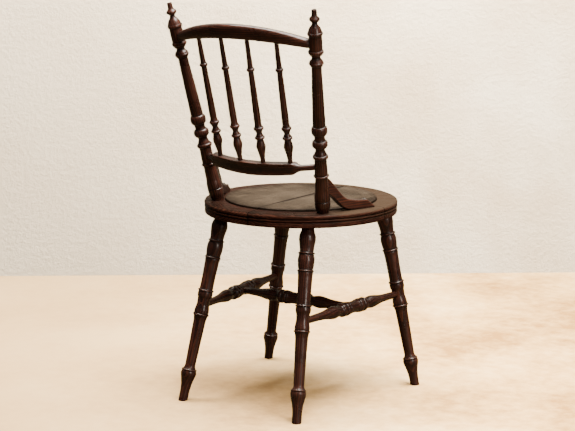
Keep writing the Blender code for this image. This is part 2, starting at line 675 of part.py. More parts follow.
def make_brace(word, posts, rims):
    """A flat bent brace from the post to the rim, with a screw at each end."""
    curve = bpy.data.curves.new("brace_outline", "CURVE")
    curve.dimensions = "2D"
    curve.fill_mode = "BOTH"
    curve.extrude = BRACE_WIDTH / 2
    start, along, length = brace_place(word)
    outline = brace_outline(length / MM)
    spline = curve.splines.new("POLY")
    spline.points.add(len(outline) - 1)
    for point, place in zip(spline.points, outline):
        point.co = (place.x, place.y, 0.0, 1.0)
    spline.use_cyclic_u = True
    sketch = bpy.data.objects.new("brace_sketch", curve)
    PARTS.objects.link(sketch)
    sketch.rotation_euler = (math.pi / 2, 0.0, math.atan2(along.y, along.x))
    sketch.location = start
    bpy.context.view_layer.update()
    evaluated = sketch.evaluated_get(bpy.context.evaluated_depsgraph_get())
    mesh = bpy.data.meshes.new_from_object(evaluated)
    mesh.transform(sketch.matrix_world)
    bpy.data.objects.remove(sketch)
    bm = bmesh.new()
    bm.from_mesh(mesh)
    bmesh.ops.remove_doubles(bm, verts=bm.verts, dist=0.00001)
    brace = new_object(f"brace_{word}", mesh_from(bm, f"brace_{word}"), WOOD_FINISH)
    cut_brace_to_post(SIDES[word], brace)
    fix_brace_to_seat(word, brace, rims)
    fix_brace_to_post(word, brace, posts)


def cut_brace_to_post(side, brace):
    """Hollows the brace's upper end to the turned outline of the post that it bears on."""
    low, high = BRACE_POST_STRETCH
    gap_mm = GAP / MM
    outline = [(along, radius + gap_mm) for along, radius in POST_OUTLINE if low < along < high]
    hollow = turned_piece(brace.name + "_hollow", outline, 2 * TURNED_STEPS, None, CUTTERS)
    hollow.hide_render = True
    hollow.display_type = "WIRE"
    stand_along(hollow, post_point(side, 0.0), post_point(side, POST_LENGTH))
    cut(brace, hollow)


def fix_brace_to_seat(word, brace, rims):
    """A screw down through the foot, whose head stands on the wood."""
    start, along, length = brace_place(word)
    height = BRACE_OVER_TIP[0][1] * MM
    head = start + along * (length - BRACE_SEAT_SCREW) + Vector((0.0, 0.0, height + GAP))
    tip = head - Vector((0.0, 0.0, BRACE_SEAT_SCREW_LENGTH))
    screw_piece(f"brace_seat_screw_{word}", head, tip)
    for piece in (brace, rims[f"rear_{word}"]):
        hole = Vector((0.0, 0.0, GAP))
        drill(piece, head + hole, tip - hole, SCREW_RADIUS + GAP, SLIM_STEPS)


def fix_brace_to_post(word, brace, posts):
    """A sunk screw that pulls the brace's upper end against the post."""
    start, along = brace_place(word)[:2]
    level = Vector((0.0, 0.0, BRACE_POST_SCREW_LEVEL))
    head = start + along * BRACE_POST_SCREW_HEAD + level
    tip = head - along * BRACE_POST_SCREW_LENGTH
    screw_piece(f"brace_post_screw_{word}", head, tip)
    for piece in (brace, posts[SIDES[word]]):
        drill(piece, head + along * BREAKOUT, tip - along * GAP, SCREW_RADIUS + GAP, SLIM_STEPS)
    drill(brace, head + along * BREAKOUT, head - along * GAP, SCREW_HEAD_RADIUS + GAP)


# ---------------------------------------------------------------- the chair

clear_scene()
PARTS = new_collection("dining_chair")
CUTTERS = new_collection("cutters")
WOOD_FINISH = new_material("stained_wood", WOOD, 0.38)
PANEL_FINISH = new_material("worn_panel_wood", PANEL_WOOD, 0.62)
STEEL_FINISH = new_material("screw_steel", STEEL, 0.45, 1.0)
ROOT = bpy.data.objects.new("seat_centre", None)
PARTS.objects.link(ROOT)
ROOT.location = (0.0, SEAT_CENTRE_Y, 0.0)

rim_segments = make_seat()
chair_legs = make_legs(rim_segments)
make_stretchers(chair_legs)
back_posts = make_posts(rim_segments)
crest_rail = make_crest(back_posts)
lower_rail = make_lower_rail(back_posts)
make_spindles(crest_rail, lower_rail)
for side_word in SIDES:
    make_brace(side_word, back_posts, rim_segments)
bpy.context.view_layer.update()
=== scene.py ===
# %% [markdown]
# This lesson dresses a packed dining chair: a round seat on four splayed legs, with a raked back
# of turned spindles between a bowed top rail and a shouldered lower rail.
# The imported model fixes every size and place. It is loaded first, its box is noted, and each
# wooden piece is then modelled again over its own node with the detail that a maker would give it.

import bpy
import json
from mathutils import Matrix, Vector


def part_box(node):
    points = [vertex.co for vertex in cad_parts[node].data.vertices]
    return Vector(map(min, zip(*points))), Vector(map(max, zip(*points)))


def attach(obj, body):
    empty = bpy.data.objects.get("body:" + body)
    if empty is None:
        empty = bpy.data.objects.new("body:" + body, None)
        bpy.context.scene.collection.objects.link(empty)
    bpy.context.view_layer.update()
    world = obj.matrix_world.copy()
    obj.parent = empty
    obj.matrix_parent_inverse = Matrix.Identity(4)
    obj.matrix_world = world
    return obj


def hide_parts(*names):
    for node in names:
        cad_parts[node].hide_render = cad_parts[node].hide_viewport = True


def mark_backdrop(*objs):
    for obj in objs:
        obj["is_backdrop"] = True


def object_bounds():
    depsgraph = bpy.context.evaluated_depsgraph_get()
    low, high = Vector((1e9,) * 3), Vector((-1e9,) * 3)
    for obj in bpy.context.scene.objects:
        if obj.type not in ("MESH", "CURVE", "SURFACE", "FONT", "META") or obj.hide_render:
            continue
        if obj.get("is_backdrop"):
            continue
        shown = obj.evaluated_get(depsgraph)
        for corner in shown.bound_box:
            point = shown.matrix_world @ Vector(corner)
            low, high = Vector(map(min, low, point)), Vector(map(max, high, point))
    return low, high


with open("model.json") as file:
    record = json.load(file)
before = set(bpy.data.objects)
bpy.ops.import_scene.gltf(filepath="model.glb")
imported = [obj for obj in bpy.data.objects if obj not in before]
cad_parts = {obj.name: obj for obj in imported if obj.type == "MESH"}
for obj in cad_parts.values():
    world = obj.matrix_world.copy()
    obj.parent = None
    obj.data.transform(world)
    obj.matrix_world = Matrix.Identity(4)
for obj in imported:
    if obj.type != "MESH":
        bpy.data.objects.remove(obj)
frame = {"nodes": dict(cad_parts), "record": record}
cad_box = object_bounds()
print("nodes to dress:", len(frame["nodes"]), "box:", cad_box)

# %% [markdown]
# Lengths in the patterns below are millimetres, as on a workshop drawing, and MM turns them into
# Blender's metres. Left and right are those of a person who sits on the chair.

# %% Tools and units
import json
import math

import bmesh
import bpy
import numpy as np
from mathutils import Matrix, Vector

MM = 0.001
CLOSE = 0.02 * MM  # points nearer than this are in the same place
ACROSS, BACK, UP = Vector((1, 0, 0)), Vector((0, 1, 0)), Vector((0, 0, 1))
DOWN = -UP
SIDES = {"left": 1, "right": -1}
print("the chair is", round((cad_box[1][2] - cad_box[0][2]) / MM, 1), "mm high")

# %% [markdown]
# The camera stands behind the chair and to its right, a little above the seat, with a long lens,
# so the turned pieces keep their proportions. It is placed from the middle of the chair's box.

# %% Camera
CAMERA_HEADING = 34.7917
CAMERA_TILT = -10.4817
CAMERA_LENS = 111.91
CAMERA_FROM_MIDDLE = Vector((-2.2333, 3.2424, 0.6895))


def make_camera(middle):
    """A camera that looks along its heading and tilt, in degrees."""
    data = bpy.data.cameras.new("camera")
    data.lens = CAMERA_LENS
    camera = bpy.data.objects.new("camera", data)
    bpy.context.scene.collection.objects.link(camera)
    camera.location = middle + CAMERA_FROM_MIDDLE
    camera.rotation_euler = (math.radians(90 + CAMERA_TILT), 0, math.radians(180 + CAMERA_HEADING))
    bpy.context.scene.camera = camera
    return camera


middle = (Vector(cad_box[0]) + Vector(cad_box[1])) / 2
camera = make_camera(middle)
print("camera at", [round(c, 3) for c in camera.location])

# %% [markdown]
# Every operator works on what is selected, so each piece starts with nothing selected.
# These few helpers do by code what a modeller does with the mouse: start afresh, pick the faces
# or edges in one place, and apply a modifier when the shape is right.

# %% Modelling helpers


def start_afresh():
    """Back to object mode with nothing selected."""
    active = bpy.context.view_layer.objects.active
    if active and active.mode != "OBJECT":
        bpy.ops.object.mode_set(mode="OBJECT")
    bpy.ops.object.select_all(action="DESELECT")


def take(piece):
    """Makes a piece the only selected one."""
    start_afresh()
    piece.select_set(True)
    bpy.context.view_layer.objects.active = piece


def name_new_piece(name):
    piece = bpy.context.object
    piece.name = piece.data.name = name
    return piece


def open_edit(piece, kind="VERT"):
    take(piece)
    bpy.ops.object.mode_set(mode="EDIT")
    bpy.ops.mesh.select_mode(type=kind)
    bpy.ops.mesh.select_all(action="DESELECT")


def pick(piece, test, kind="VERT"):
    """In edit mode, selects only the vertices, edges or faces that pass a test, and counts them."""
    mesh = bmesh.from_edit_mesh(piece.data)
    bpy.ops.mesh.select_mode(type=kind)
    bpy.ops.mesh.select_all(action="DESELECT")
    parts = {"VERT": mesh.verts, "EDGE": mesh.edges, "FACE": mesh.faces}[kind]
    chosen = [part for part in parts if test(part)]
    for part in chosen:
        part.select_set(True)
    bmesh.update_edit_mesh(piece.data)
    return len(chosen)


def finish_with(piece, kind, **settings):
    """Adds a modifier with these settings and applies it."""
    take(piece)
    modifier = piece.modifiers.new(kind.lower(), kind)
    for name, value in settings.items():
        setattr(modifier, name, value)
    bpy.ops.object.modifier_apply(modifier=modifier.name)


def smooth_by_angle(piece, degrees=35):
    take(piece)
    bpy.ops.object.shade_smooth_by_angle(angle=math.radians(degrees))


def place_along(piece, start, end, turn=0.0):
    """Moves a piece that stands upright at the origin to start, and points its top towards end."""
    facing = (end - start).to_track_quat("Z", "Y").to_matrix().to_4x4()
    piece.matrix_world = Matrix.Translation(start) @ facing @ Matrix.Rotation(turn, 4, "Z")
    take(piece)
    bpy.ops.object.transform_apply(location=True, rotation=True, scale=True)


def duplicate_as(piece, name):
    """A copy with a mesh of its own."""
    take(piece)
    bpy.ops.object.duplicate()
    return name_new_piece(name)


# %% [markdown]
# The finish of an old chair depends on its shape: high edges are rubbed bare and corners hold dirt.
# Two things are therefore stored on each point of a mesh. "grain" is the place of the point in the
# board that the piece was cut from, with Z along the fibres, and "edge" is above 0 where the
# surface stands proud of its surroundings and below 0 where it lies in a groove.
# Stored values stay with the mesh when it is moved, which a pattern on world places would not.

# %% What is stored on each mesh


def point_array(piece):
    points = np.empty(len(piece.data.vertices) * 3)
    piece.data.vertices.foreach_get("co", points)
    return points.reshape(-1, 3)


def store(piece, name, values):
    """Writes one number or one vector for each point of a piece."""
    values = np.asarray(values, dtype=np.float32)
    kind, field = ("FLOAT", "value") if values.ndim == 1 else ("FLOAT_VECTOR", "vector")
    layer = piece.data.attributes.get(name) or piece.data.attributes.new(name, kind, "POINT")
    layer.data.foreach_set(field, values.ravel())


def store_grain(piece, across, up, along):
    """Stores the place of each point in its board. The three directions are unit vectors."""
    turned = point_array(piece) @ np.array([across[:], up[:], along[:]]).T
    store(piece, "grain", turned)


board_number = 0


def fresh_board(piece):
    """Moves the stored grain to another part of the tree, so that no two pieces match."""
    global board_number
    board_number += 1
    places = np.empty(len(piece.data.vertices) * 3, dtype=np.float32)
    piece.data.attributes["grain"].data.foreach_get("vector", places)
    shift = np.array([0.37, 0.61, 1.13]) * board_number % 5.0
    store(piece, "grain", places.reshape(-1, 3) + shift)


def store_edges(piece, reach=3.5 * MM, depth=0.35 * MM):
    """Compares each point with the average of the surface within about reach of it."""
    points = point_array(piece)
    pairs = np.array([edge.vertices[:] for edge in piece.data.edges])
    first, second = pairs[:, 0], pairs[:, 1]
    count = np.bincount(pairs.ravel(), minlength=len(points))
    spacing = np.linalg.norm(points[first] - points[second], axis=1).mean()
    rounds = int(np.clip((reach / spacing) ** 2, 1, 40))
    average = points.copy()
    for _ in range(rounds):
        total = [
            np.bincount(first, average[second, axis], len(points))
            + np.bincount(second, average[first, axis], len(points))
            for axis in range(3)
        ]
        average = np.array(total).T / count[:, None]
    normals = np.array([vertex.normal[:] for vertex in piece.data.vertices])
    proud = ((points - average) * normals).sum(axis=1)
    store(piece, "edge", np.clip((proud - np.median(proud)) / depth, -1, 1))


# %% [markdown]
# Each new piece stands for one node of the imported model, moves with its only body, and takes
# its finish from one of the record's material slots.

# %% Handing a piece over

finishes = {}


def hand_over(piece, node, finish):
    """Puts a finished piece in the place of its CAD node."""
    finishes.setdefault(finish, []).append(piece)
    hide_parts(node)
    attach(piece, "root")


# %% [markdown]
# A turned piece needs only its axis. The ends of a node's axis are the middles of its two flat
# ends, found from its own points. The feet of the legs are cut slantwise, level with the floor,
# so for them the record's mounts give the lower end.

# %% Find the axes of the turned nodes

END_DEPTH = 0.4 * MM


def node_points(node):
    """The different points of a CAD node."""
    return np.unique(point_array(frame["nodes"][node]).round(6), axis=0)


def unit(vector):
    return vector / np.linalg.norm(vector)


def long_way(points):
    """The direction in which a cloud of points is longest."""
    return np.linalg.svd(points - points.mean(axis=0), full_matrices=False)[2][0]


def axis_of(node, towards, foot=None):
    """The start and end of a turned node's axis, running roughly towards a direction."""
    points = node_points(node)
    end = points.mean(axis=0) if foot is None else np.array(foot)
    along = long_way(points)
    along = along * np.sign(along @ np.array(towards))
    for _ in range(4):  # each pass finds the flat ends a little better
        run = (points - end) @ along
        start = points[run < run.min() + END_DEPTH].mean(axis=0)
        if foot is None:
            end = points[run > run.max() - END_DEPTH].mean(axis=0)
        along = unit(end - start)
    return Vector(start), Vector(end)


mounts = {mount["name"]: mount["pos_m"] for mount in frame["record"]["mounts"]}
print("a rear leg's axis:", axis_of("leg_rear_left", DOWN, mounts["foot_rear_left"]))

# %% [markdown]
# A turner works from a pattern: distances along the piece and the radius at each of them.
# A smooth run between the marks is a monotone curve, so it never bulges past them, and a ring is
# half of an ellipse. Both give a list of points, and a pattern is made by adding such lists.

# %% Draw a turner's pattern


def sweep(*marks, spacing=2.4):
    """A smooth run through (along, radius) marks."""
    along, radius = np.array(marks, dtype=float).T
    gaps = np.diff(along)
    rise = np.diff(radius) / gaps
    slopes = np.concatenate([[rise[0]], np.zeros(len(marks) - 2), [rise[-1]]])
    for i in range(1, len(marks) - 1):
        if rise[i - 1] * rise[i] > 0:
            before, after = 2 * gaps[i] + gaps[i - 1], gaps[i] + 2 * gaps[i - 1]
            slopes[i] = (before + after) / (before / rise[i - 1] + after / rise[i])
    points = []
    for i, gap in enumerate(gaps):
        count = int(np.clip(round(gap / spacing), 1, 5))
        for t in np.arange(count) / count:
            rest = (1 - t) ** 2
            height = rest * (1 + 2 * t) * radius[i] + t * t * (3 - 2 * t) * radius[i + 1]
            height += gap * (t * rest * slopes[i] - t * t * (1 - t) * slopes[i + 1])
            points.append((along[i] + gap * t, height))
    return points + [(along[-1], radius[-1])]


def ring(start, end, foot, crown, steps=6):
    """A rounded ring that rises from the foot radius to its crown."""
    turns = [math.pi * i / steps for i in range(steps + 1)]
    middle, half = (start + end) / 2, (end - start) / 2
    return [(middle - half * math.cos(t), foot + (crown - foot) * math.sin(t)) for t in turns]


print("a ring has", len(ring(0, 4, 15, 17)), "points")

# %% [markdown]
# The lathe in Blender is the spin tool. A line is drawn by extruding one point along the pattern,
# spun right round, and its seam and poles are merged. The face normals are then made to agree,
# because a spin can turn a shape inside out.

# %% Turn a piece

LATHE_STEPS = 48


def draw_line(name, points):
    """Draws a line by extruding a single point from place to place."""
    start_afresh()
    bpy.ops.mesh.primitive_plane_add(size=MM, location=(0, 0, 0))
    piece = name_new_piece(name)
    bpy.ops.object.mode_set(mode="EDIT")
    bpy.ops.mesh.select_mode(type="VERT")
    bpy.ops.mesh.select_all(action="SELECT")
    bpy.ops.mesh.merge(type="CENTER")
    bpy.ops.transform.translate(value=points[0])
    for here, there in zip(points, points[1:]):
        bpy.ops.mesh.extrude_region_move(TRANSFORM_OT_translate={"value": there - here})
    return piece


def close_shell():
    """In edit mode, merges doubles and points every face outwards."""
    bpy.ops.mesh.select_all(action="SELECT")
    bpy.ops.mesh.remove_doubles(threshold=0.01 * MM)
    bpy.ops.mesh.normals_make_consistent(inside=False)


def store_turning_edges(piece, pattern, reach=3.0, depth=0.9):
    """On a turned piece, the radius is compared with its average within reach along the axis."""
    along, radius = np.array(pattern, dtype=float).T
    points = point_array(piece) / MM
    distance = np.hypot(points[:, 0], points[:, 1])
    steps = np.linspace(-reach, reach, 9)
    around = [np.interp(points[:, 2] + step, along, radius) for step in steps]
    proud = distance - np.mean(around, axis=0)
    proud[distance < 0.01] = 0.0
    store(piece, "edge", np.clip(proud / depth, -1, 1))


def turn_on_lathe(name, pattern, steps=LATHE_STEPS):
    """Turns a closed pattern, which starts and ends on the axis."""
    marks = [(pattern[0][0], 0.0)] + pattern + [(pattern[-1][0], 0.0)]
    piece = draw_line(name, [Vector((radius, 0, along)) * MM for along, radius in marks])
    bpy.ops.mesh.select_all(action="SELECT")
    bpy.ops.mesh.spin(steps=steps, angle=math.tau, center=(0, 0, 0), axis=UP)
    close_shell()
    smooth_by_angle(piece)
    store_grain(piece, ACROSS, BACK, UP)
    store_turning_edges(piece, pattern)
    print(name, "turned:", len(piece.data.vertices), "points")
    return piece


# %% [markdown]
# The legs carry most of the turning. From the seat down there is a swelling, a thin ring,
# a second swelling and ring, a plain stretch, two more rings where the stretcher comes in,
# and a long taper to a collared foot. All four come from one pattern, left too long at the foot.

# %% Pattern of a leg

LEG_PLUG = 17.5
leg_pattern = [(-LEG_PLUG, 12.3), (-0.5, 12.3)]
leg_pattern += sweep(
    (0, 12.9), (5, 13.3), (9, 14.2), (13, 15.1), (17, 16.5), (21, 17.8), (25, 18.3), (30, 18.3),
)
leg_pattern += sweep((33, 18.0), (38, 17.1), (46, 15.9), (51, 15.4), (56.4, 15.2))
leg_pattern += ring(57.0, 60.8, 15.5, 18.7)
leg_pattern += sweep(
    (61.2, 16.0), (64, 16.8), (68, 17.7), (74, 18.2), (80, 17.8), (85, 17.3), (91, 16.5),
    (94.4, 16.1),
)
leg_pattern += ring(95.0, 99.0, 16.0, 18.4)
leg_pattern += sweep(
    (99.6, 16.3), (102, 16.7), (106, 16.1), (110, 15.8), (123, 15.5), (140, 14.9), (158, 14.9),
    (169.4, 15.1),
)
leg_pattern += ring(170.0, 174.2, 15.4, 18.1)
leg_pattern += sweep(
    (174.8, 16.2), (178, 16.7), (183, 16.7), (187, 15.7), (190, 14.7), (197, 14.3), (203, 14.1),
    (208, 14.8),
)
leg_pattern += sweep((212, 15.5), (217, 16.3), (221, 16.5), (224.4, 16.3))
leg_pattern += ring(225.0, 229.2, 16.0, 18.2)
leg_pattern += sweep(
    (229.8, 15.9), (233, 15.3), (240, 14.0), (254, 13.6), (271, 13.2), (296, 12.6), (320, 12.1),
    (342, 11.5),
)
leg_pattern += sweep((344, 11.6), (346.5, 12.2), (349, 13.3), (350.8, 14.3))
leg_pattern += ring(351.2, 355.4, 14.6, 16.9)
leg_pattern += sweep(
    (355.8, 16.3), (358.5, 17.2), (361, 17.35), (364, 17.0), (368, 16.2), (372, 15.0), (377, 13.8),
    (381, 12.9),
)
leg_pattern += sweep((385, 12.1), (390, 11.5), (397, 10.8), (405, 10.4), (436, 10.3))
print("leg pattern:", len(leg_pattern), "marks")

# %% [markdown]
# A leg is copied to each corner, set along its own axis and cut level with the floor by a bisect.
# The last sharp corner of the foot is eased by a narrow bevel, as wear does.

# %% Turn and fit the legs


def cut_level(piece, height):
    """Cuts off what is below a height and closes the cut."""
    open_edit(piece)
    bpy.ops.mesh.select_all(action="SELECT")
    bpy.ops.mesh.bisect(plane_co=(0, 0, height), plane_no=DOWN, use_fill=True, clear_outer=True)
    pick(piece, lambda edge: all(abs(v.co.z - height) < 0.01 * MM for v in edge.verts), "EDGE")
    bpy.ops.mesh.bevel(offset=0.9 * MM, segments=2)
    bpy.ops.object.mode_set(mode="OBJECT")


def fit_leg(template, end, side):
    node = f"leg_{end}_{side}"
    leg = duplicate_as(template, "turned_" + node)
    top, foot = axis_of(node, DOWN, mounts[f"foot_{end}_{side}"])
    shoulder = top + (foot - top).normalized() * LEG_PLUG * MM
    place_along(leg, shoulder, foot, turn=board_number * 1.7)
    cut_level(leg, 0.0)
    smooth_by_angle(leg)
    fresh_board(leg)
    hand_over(leg, node, "turned wood")
    return shoulder, foot


leg_template = turn_on_lathe("leg_template", leg_pattern)
for end in ("rear", "front"):
    for side in SIDES:
        shoulder, foot = fit_leg(leg_template, end, side)
        print(end, side, "leg is", round((foot - shoulder).length / MM, 1), "mm long")
bpy.data.objects.remove(leg_template)

# %% [markdown]
# The posts are the show pieces of the back. Each rises from a rounded foot through a ring,
# a collar, a ball and a flared bead to a long tapering shaft, then through two more beads to the
# plain block that takes the top rail, and ends in a domed finial with a small knob.

# %% Turn and fit the posts

POST_PLUG = 19.0
post_pattern = [(-POST_PLUG, 12.8), (-0.5, 12.8)]
post_pattern += sweep((0, 12.9), (3, 13.1), (8, 14.7), (14, 16.3), (20, 16.95), (28.0, 17.0))
post_pattern += sweep((28.6, 16.2), (29.4, 15.9), (30.2, 16.2), spacing=0.8)
post_pattern += sweep(
    (30.8, 17.0), (38, 16.9), (42, 16.5), (50, 15.1), (58, 14.7), (66, 14.5), (74, 13.8),
    (79, 13.6), (83.6, 13.9),
)
post_pattern += ring(84.4, 89.4, 14.2, 16.8)
post_pattern += sweep((90, 14.5), (96, 14.3), (106, 13.8), (116, 13.4), (122, 13.3), (126.2, 13.5))
post_pattern += ring(126.8, 135.2, 13.9, 16.9)
post_pattern += sweep(
    (135.6, 13.8), (138, 13.0), (141, 12.0), (144, 10.6), (146.5, 10.1), (149, 10.8), (151.2, 12.2),
)
post_pattern += ring(151.8, 168.2, 12.6, 17.1, steps=10)
post_pattern += sweep((168.8, 12.3), (171, 11.5), (175, 11.1), (178, 11.9), (180.6, 13.3))
post_pattern += ring(181.2, 200.4, 13.6, 17.4, steps=10)
post_pattern += sweep(
    (201, 13.5), (204, 13.7), (216, 13.7), (229, 13.2), (250, 12.8), (283, 12.0), (312, 11.2),
    (331, 10.8), (335, 11.0),
)
post_pattern += sweep((335.6, 12.8), (337, 13.9), (338.4, 13.9), spacing=0.8)
post_pattern += ring(338.8, 343.6, 14.1, 15.7)
post_pattern += sweep(
    (344, 14.7), (346, 14.2), (348, 12.6), (351, 10.1), (354, 9.0), (356, 9.8), (358, 11.9),
    (360, 13.8), (362, 14.6),
)
post_pattern += ring(362.4, 369.8, 14.4, 16.5)
post_pattern += sweep((370.2, 14.3), (375, 14.5), (391, 14.5), (398, 14.0), (401.6, 14.0))
post_pattern += ring(402.2, 409.4, 14.4, 16.5)
post_pattern += sweep(
    (409.8, 14.9), (412, 14.2), (416, 12.8), (420, 10.7), (424, 7.4), (426.5, 6.1), (429, 5.8),
)
post_pattern += sweep(
    (431, 7.0), (433, 9.1), (435, 10.8), (437, 11.3), (439, 10.8), (441, 9.0), (443, 7.2),
    (445, 6.1),
)
post_pattern += sweep((447, 5.7), (452, 5.6), (456.4, 5.6), (457.8, 4.8), spacing=1.2)

post_template = turn_on_lathe("post_template", post_pattern)
post_axes = {}
for side in SIDES:
    end, top = axis_of(f"post_{side}", UP)
    foot = end + (top - end).normalized() * POST_PLUG * MM
    post = duplicate_as(post_template, f"turned_post_{side}")
    place_along(post, foot, top, turn=board_number * 1.7)
    fresh_board(post)
    hand_over(post, f"post_{side}", "turned wood")
    post_axes[side] = (foot, top)
bpy.data.objects.remove(post_template)
print("posts", round((post_axes["left"][1] - post_axes["left"][0]).length / MM, 1), "mm tall")

# %% [markdown]
# The four spindles share a vase, two beads and a ring. The outer two are a little shorter,
# because the top rail drops towards the posts, so the plain shaft above the ring takes up
# the difference and each spindle is turned to the length of its own node.

# %% Turn and fit the spindles

SPINDLE_TENON = 10.0


def spindle_pattern(length):
    pattern = [(-SPINDLE_TENON, 4.3), (-0.4, 4.3)]
    pattern += sweep(
        (0, 5.2), (3, 5.4), (7, 5.1), (13, 5.8), (20, 6.8), (27, 8.4), (33, 9.8), (37, 10.2),
        (43, 9.2),
    )
    pattern += sweep((48, 8.0), (51, 7.3), (53.2, 7.2))
    pattern += ring(53.6, 59.6, 8.2, 11.1)
    pattern += sweep((60, 8.9), (63, 7.6), (66.6, 6.0), (70, 7.0), (73.6, 8.6))
    pattern += ring(74.0, 81.0, 8.6, 11.0)
    pattern += sweep(
        (81.4, 8.8), (84, 8.1), (87, 7.4), (93, 7.6), (100, 7.7), (130, 7.2), (160, 6.8),
        (180, 6.4), (200, 6.0), (204.6, 5.9),
    )
    pattern += ring(205.0, 212.0, 6.6, 8.8)
    pattern += sweep((212.6, 6.6), (216, 5.9), (236, 5.4), (256, 4.9), (length, 4.5))
    return pattern


for place in ("outer", "inner"):
    for side in SIDES:
        node = f"spindle_{side}_{place}"
        end, top = axis_of(node, UP)
        along = (top - end).normalized()
        length = (top - end).length / MM - SPINDLE_TENON
        spindle = turn_on_lathe("turned_" + node, spindle_pattern(length), steps=32)
        place_along(spindle, end + along * SPINDLE_TENON * MM, top, turn=board_number * 1.7)
        fresh_board(spindle)
        hand_over(spindle, node, "turned wood")
print("spindles fitted")

# %% [markdown]
# The three stretchers form an H. Each has a barrel between two pairs of rings in its middle and
# a long bulb on each side that tapers to the leg. One half is drawn and mirrored in the pattern.

# %% Turn and fit the stretchers


def stretcher_pattern(half, end_radius):
    """Half a pattern from the middle outwards, then both halves as one."""
    marks = sweep((0, 13.1), (8, 13.3), (12.6, 13.8))
    marks += ring(13.0, 17.4, 13.9, 14.8)
    marks += sweep((17.8, 14.0), (18.6, 14.0), spacing=0.6)
    marks += ring(19.0, 28.0, 13.9, 15.8)
    marks += sweep((28.6, 14.1), (31.4, 14.1), spacing=0.9)
    marks += ring(32.0, 41.0, 13.9, 15.8)
    marks += sweep(
        (41.6, 13.2), (44, 12.0), (48, 11.2), (52, 11.9), (57, 13.0), (66, 14.1), (77, 13.0),
        (83, 12.0),
    )
    marks += sweep(
        (88, 11.2), (93, 10.3), (101, 9.4), (110, 8.8), (125, 8.2), (half - 8, end_radius),
        (half, end_radius),
    )
    other = [(-along, radius) for along, radius in reversed(marks[1:])]
    return other + marks


STRETCHERS = {
    "stretcher_left": (7.7, -BACK), "stretcher_right": (7.7, -BACK), "stretcher_cross": (6.9, ACROSS),
}
for node, (end_radius, towards) in STRETCHERS.items():
    start, end = axis_of(node, towards)
    half = (end - start).length / MM / 2
    stretcher = turn_on_lathe("turned_" + node, stretcher_pattern(half, end_radius))
    place_along(stretcher, (start + end) / 2, end, turn=board_number * 1.7)
    fresh_board(stretcher)
    hand_over(stretcher, node, "turned wood")

# %% [markdown]
# The back is one sloping plane through both posts. Places on its rails are easiest in its own
# directions: across, up the slope, and behind. They are measured from the posts' axes.

# %% The plane of the back

both_up = sum(((top - foot).normalized() for foot, top in post_axes.values()), Vector())
up_back = both_up.normalized()
behind = up_back.cross(ACROSS)
back_foot = (post_axes["left"][0] + post_axes["right"][0]) / 2
spread = (post_axes["left"][1] - post_axes["left"][0]).normalized()
foot_half = (post_axes["left"][0] - post_axes["right"][0]).length / 2


def post_at(up):
    """Half the distance between the posts' axes at a height up the back."""
    return foot_half + up * spread.x / spread.dot(up_back)


def arc(x, half, rise):
    """The height of a shallow arc at x, which starts at half and rises in its middle."""
    radius = (half**2 + rise**2) / (2 * rise)
    return rise - radius + math.sqrt(radius**2 - x**2)


print("rake", round(math.degrees(math.acos(up_back.z)), 2), "degrees")

# %% [markdown]
# Both rails are bent to the curve of the sitter's back. Each is a straight bar first, made from
# a cube whose long edges are subdivided into equal lengths. Every slice is then sized and moved
# to its place on the bow, and subdivision surface rounds the bar. A slice that has moved on a
# slope looks thinner across it, so it is thickened by the slope beforehand.

# %% Bend a rail out of a bar

ROUNDING = 0.925  # how far subdivision draws a square section in


def bar_with_slices(name, half, slices):
    """A bar along X, one unit square, in equal slices."""
    start_afresh()
    bpy.ops.mesh.primitive_cube_add(size=2, location=(0, 0, 0))
    bar = name_new_piece(name)
    bpy.ops.object.mode_set(mode="EDIT")
    bpy.ops.transform.resize(value=(half, 1, 1))
    pick(bar, lambda edge: abs(edge.verts[0].co.x - edge.verts[1].co.x) > half, "EDGE")
    bpy.ops.mesh.subdivide(number_cuts=slices - 1)
    return bar


def slice_places(bar):
    return sorted({round(vert.co.x, 5) for vert in bmesh.from_edit_mesh(bar.data).verts})


def shape_slice(bar, x, target_x, deep, thick, rise, bow, crease):
    """Sizes one slice of the bar and moves it to its place. Z is up the back and Y behind it."""
    pick(bar, lambda vert: abs(vert.co.x - x) < CLOSE)
    bpy.ops.transform.resize(value=(1, thick, deep), center_override=(x, 0, 0))
    bpy.ops.transform.translate(value=(target_x - x, bow, rise))
    mesh = bmesh.from_edit_mesh(bar.data)
    layer = mesh.edges.layers.float.get("crease_edge") or mesh.edges.layers.float.new("crease_edge")
    for edge in mesh.edges:
        if edge.verts[0].select != edge.verts[1].select:
            edge[layer] = crease
    bmesh.update_edit_mesh(bar.data)


def set_in_back(rail):
    """Turns a rail from its drawing into the plane of the back."""
    turn = Matrix((ACROSS, behind, up_back)).transposed().to_4x4()
    rail.matrix_world = Matrix.Translation(back_foot) @ turn
    take(rail)
    bpy.ops.object.transform_apply(location=True, rotation=True, scale=True)


def finish_rail(rail, node, levels=3):
    bpy.ops.object.mode_set(mode="OBJECT")
    finish_with(rail, "SUBSURF", levels=levels, render_levels=levels)
    store_grain(rail, BACK, UP, ACROSS)
    store_edges(rail)
    set_in_back(rail)
    smooth_by_angle(rail, 60)
    fresh_board(rail)
    hand_over(rail, node, "turned wood")
    low, high = (Vector(corner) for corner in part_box(node))
    mine = [Vector(point) for point in point_array(rail)]
    lift = max(point.z for point in mine) - high.z
    print(node, "top is", round(lift / MM, 2), "mm from its node's")


# %% [markdown]
# The top rail is an oval bar, deepest in its middle, that arches up and bows back.
# Its depth follows an ellipse, so it narrows into a round end at each post.

# %% The top rail

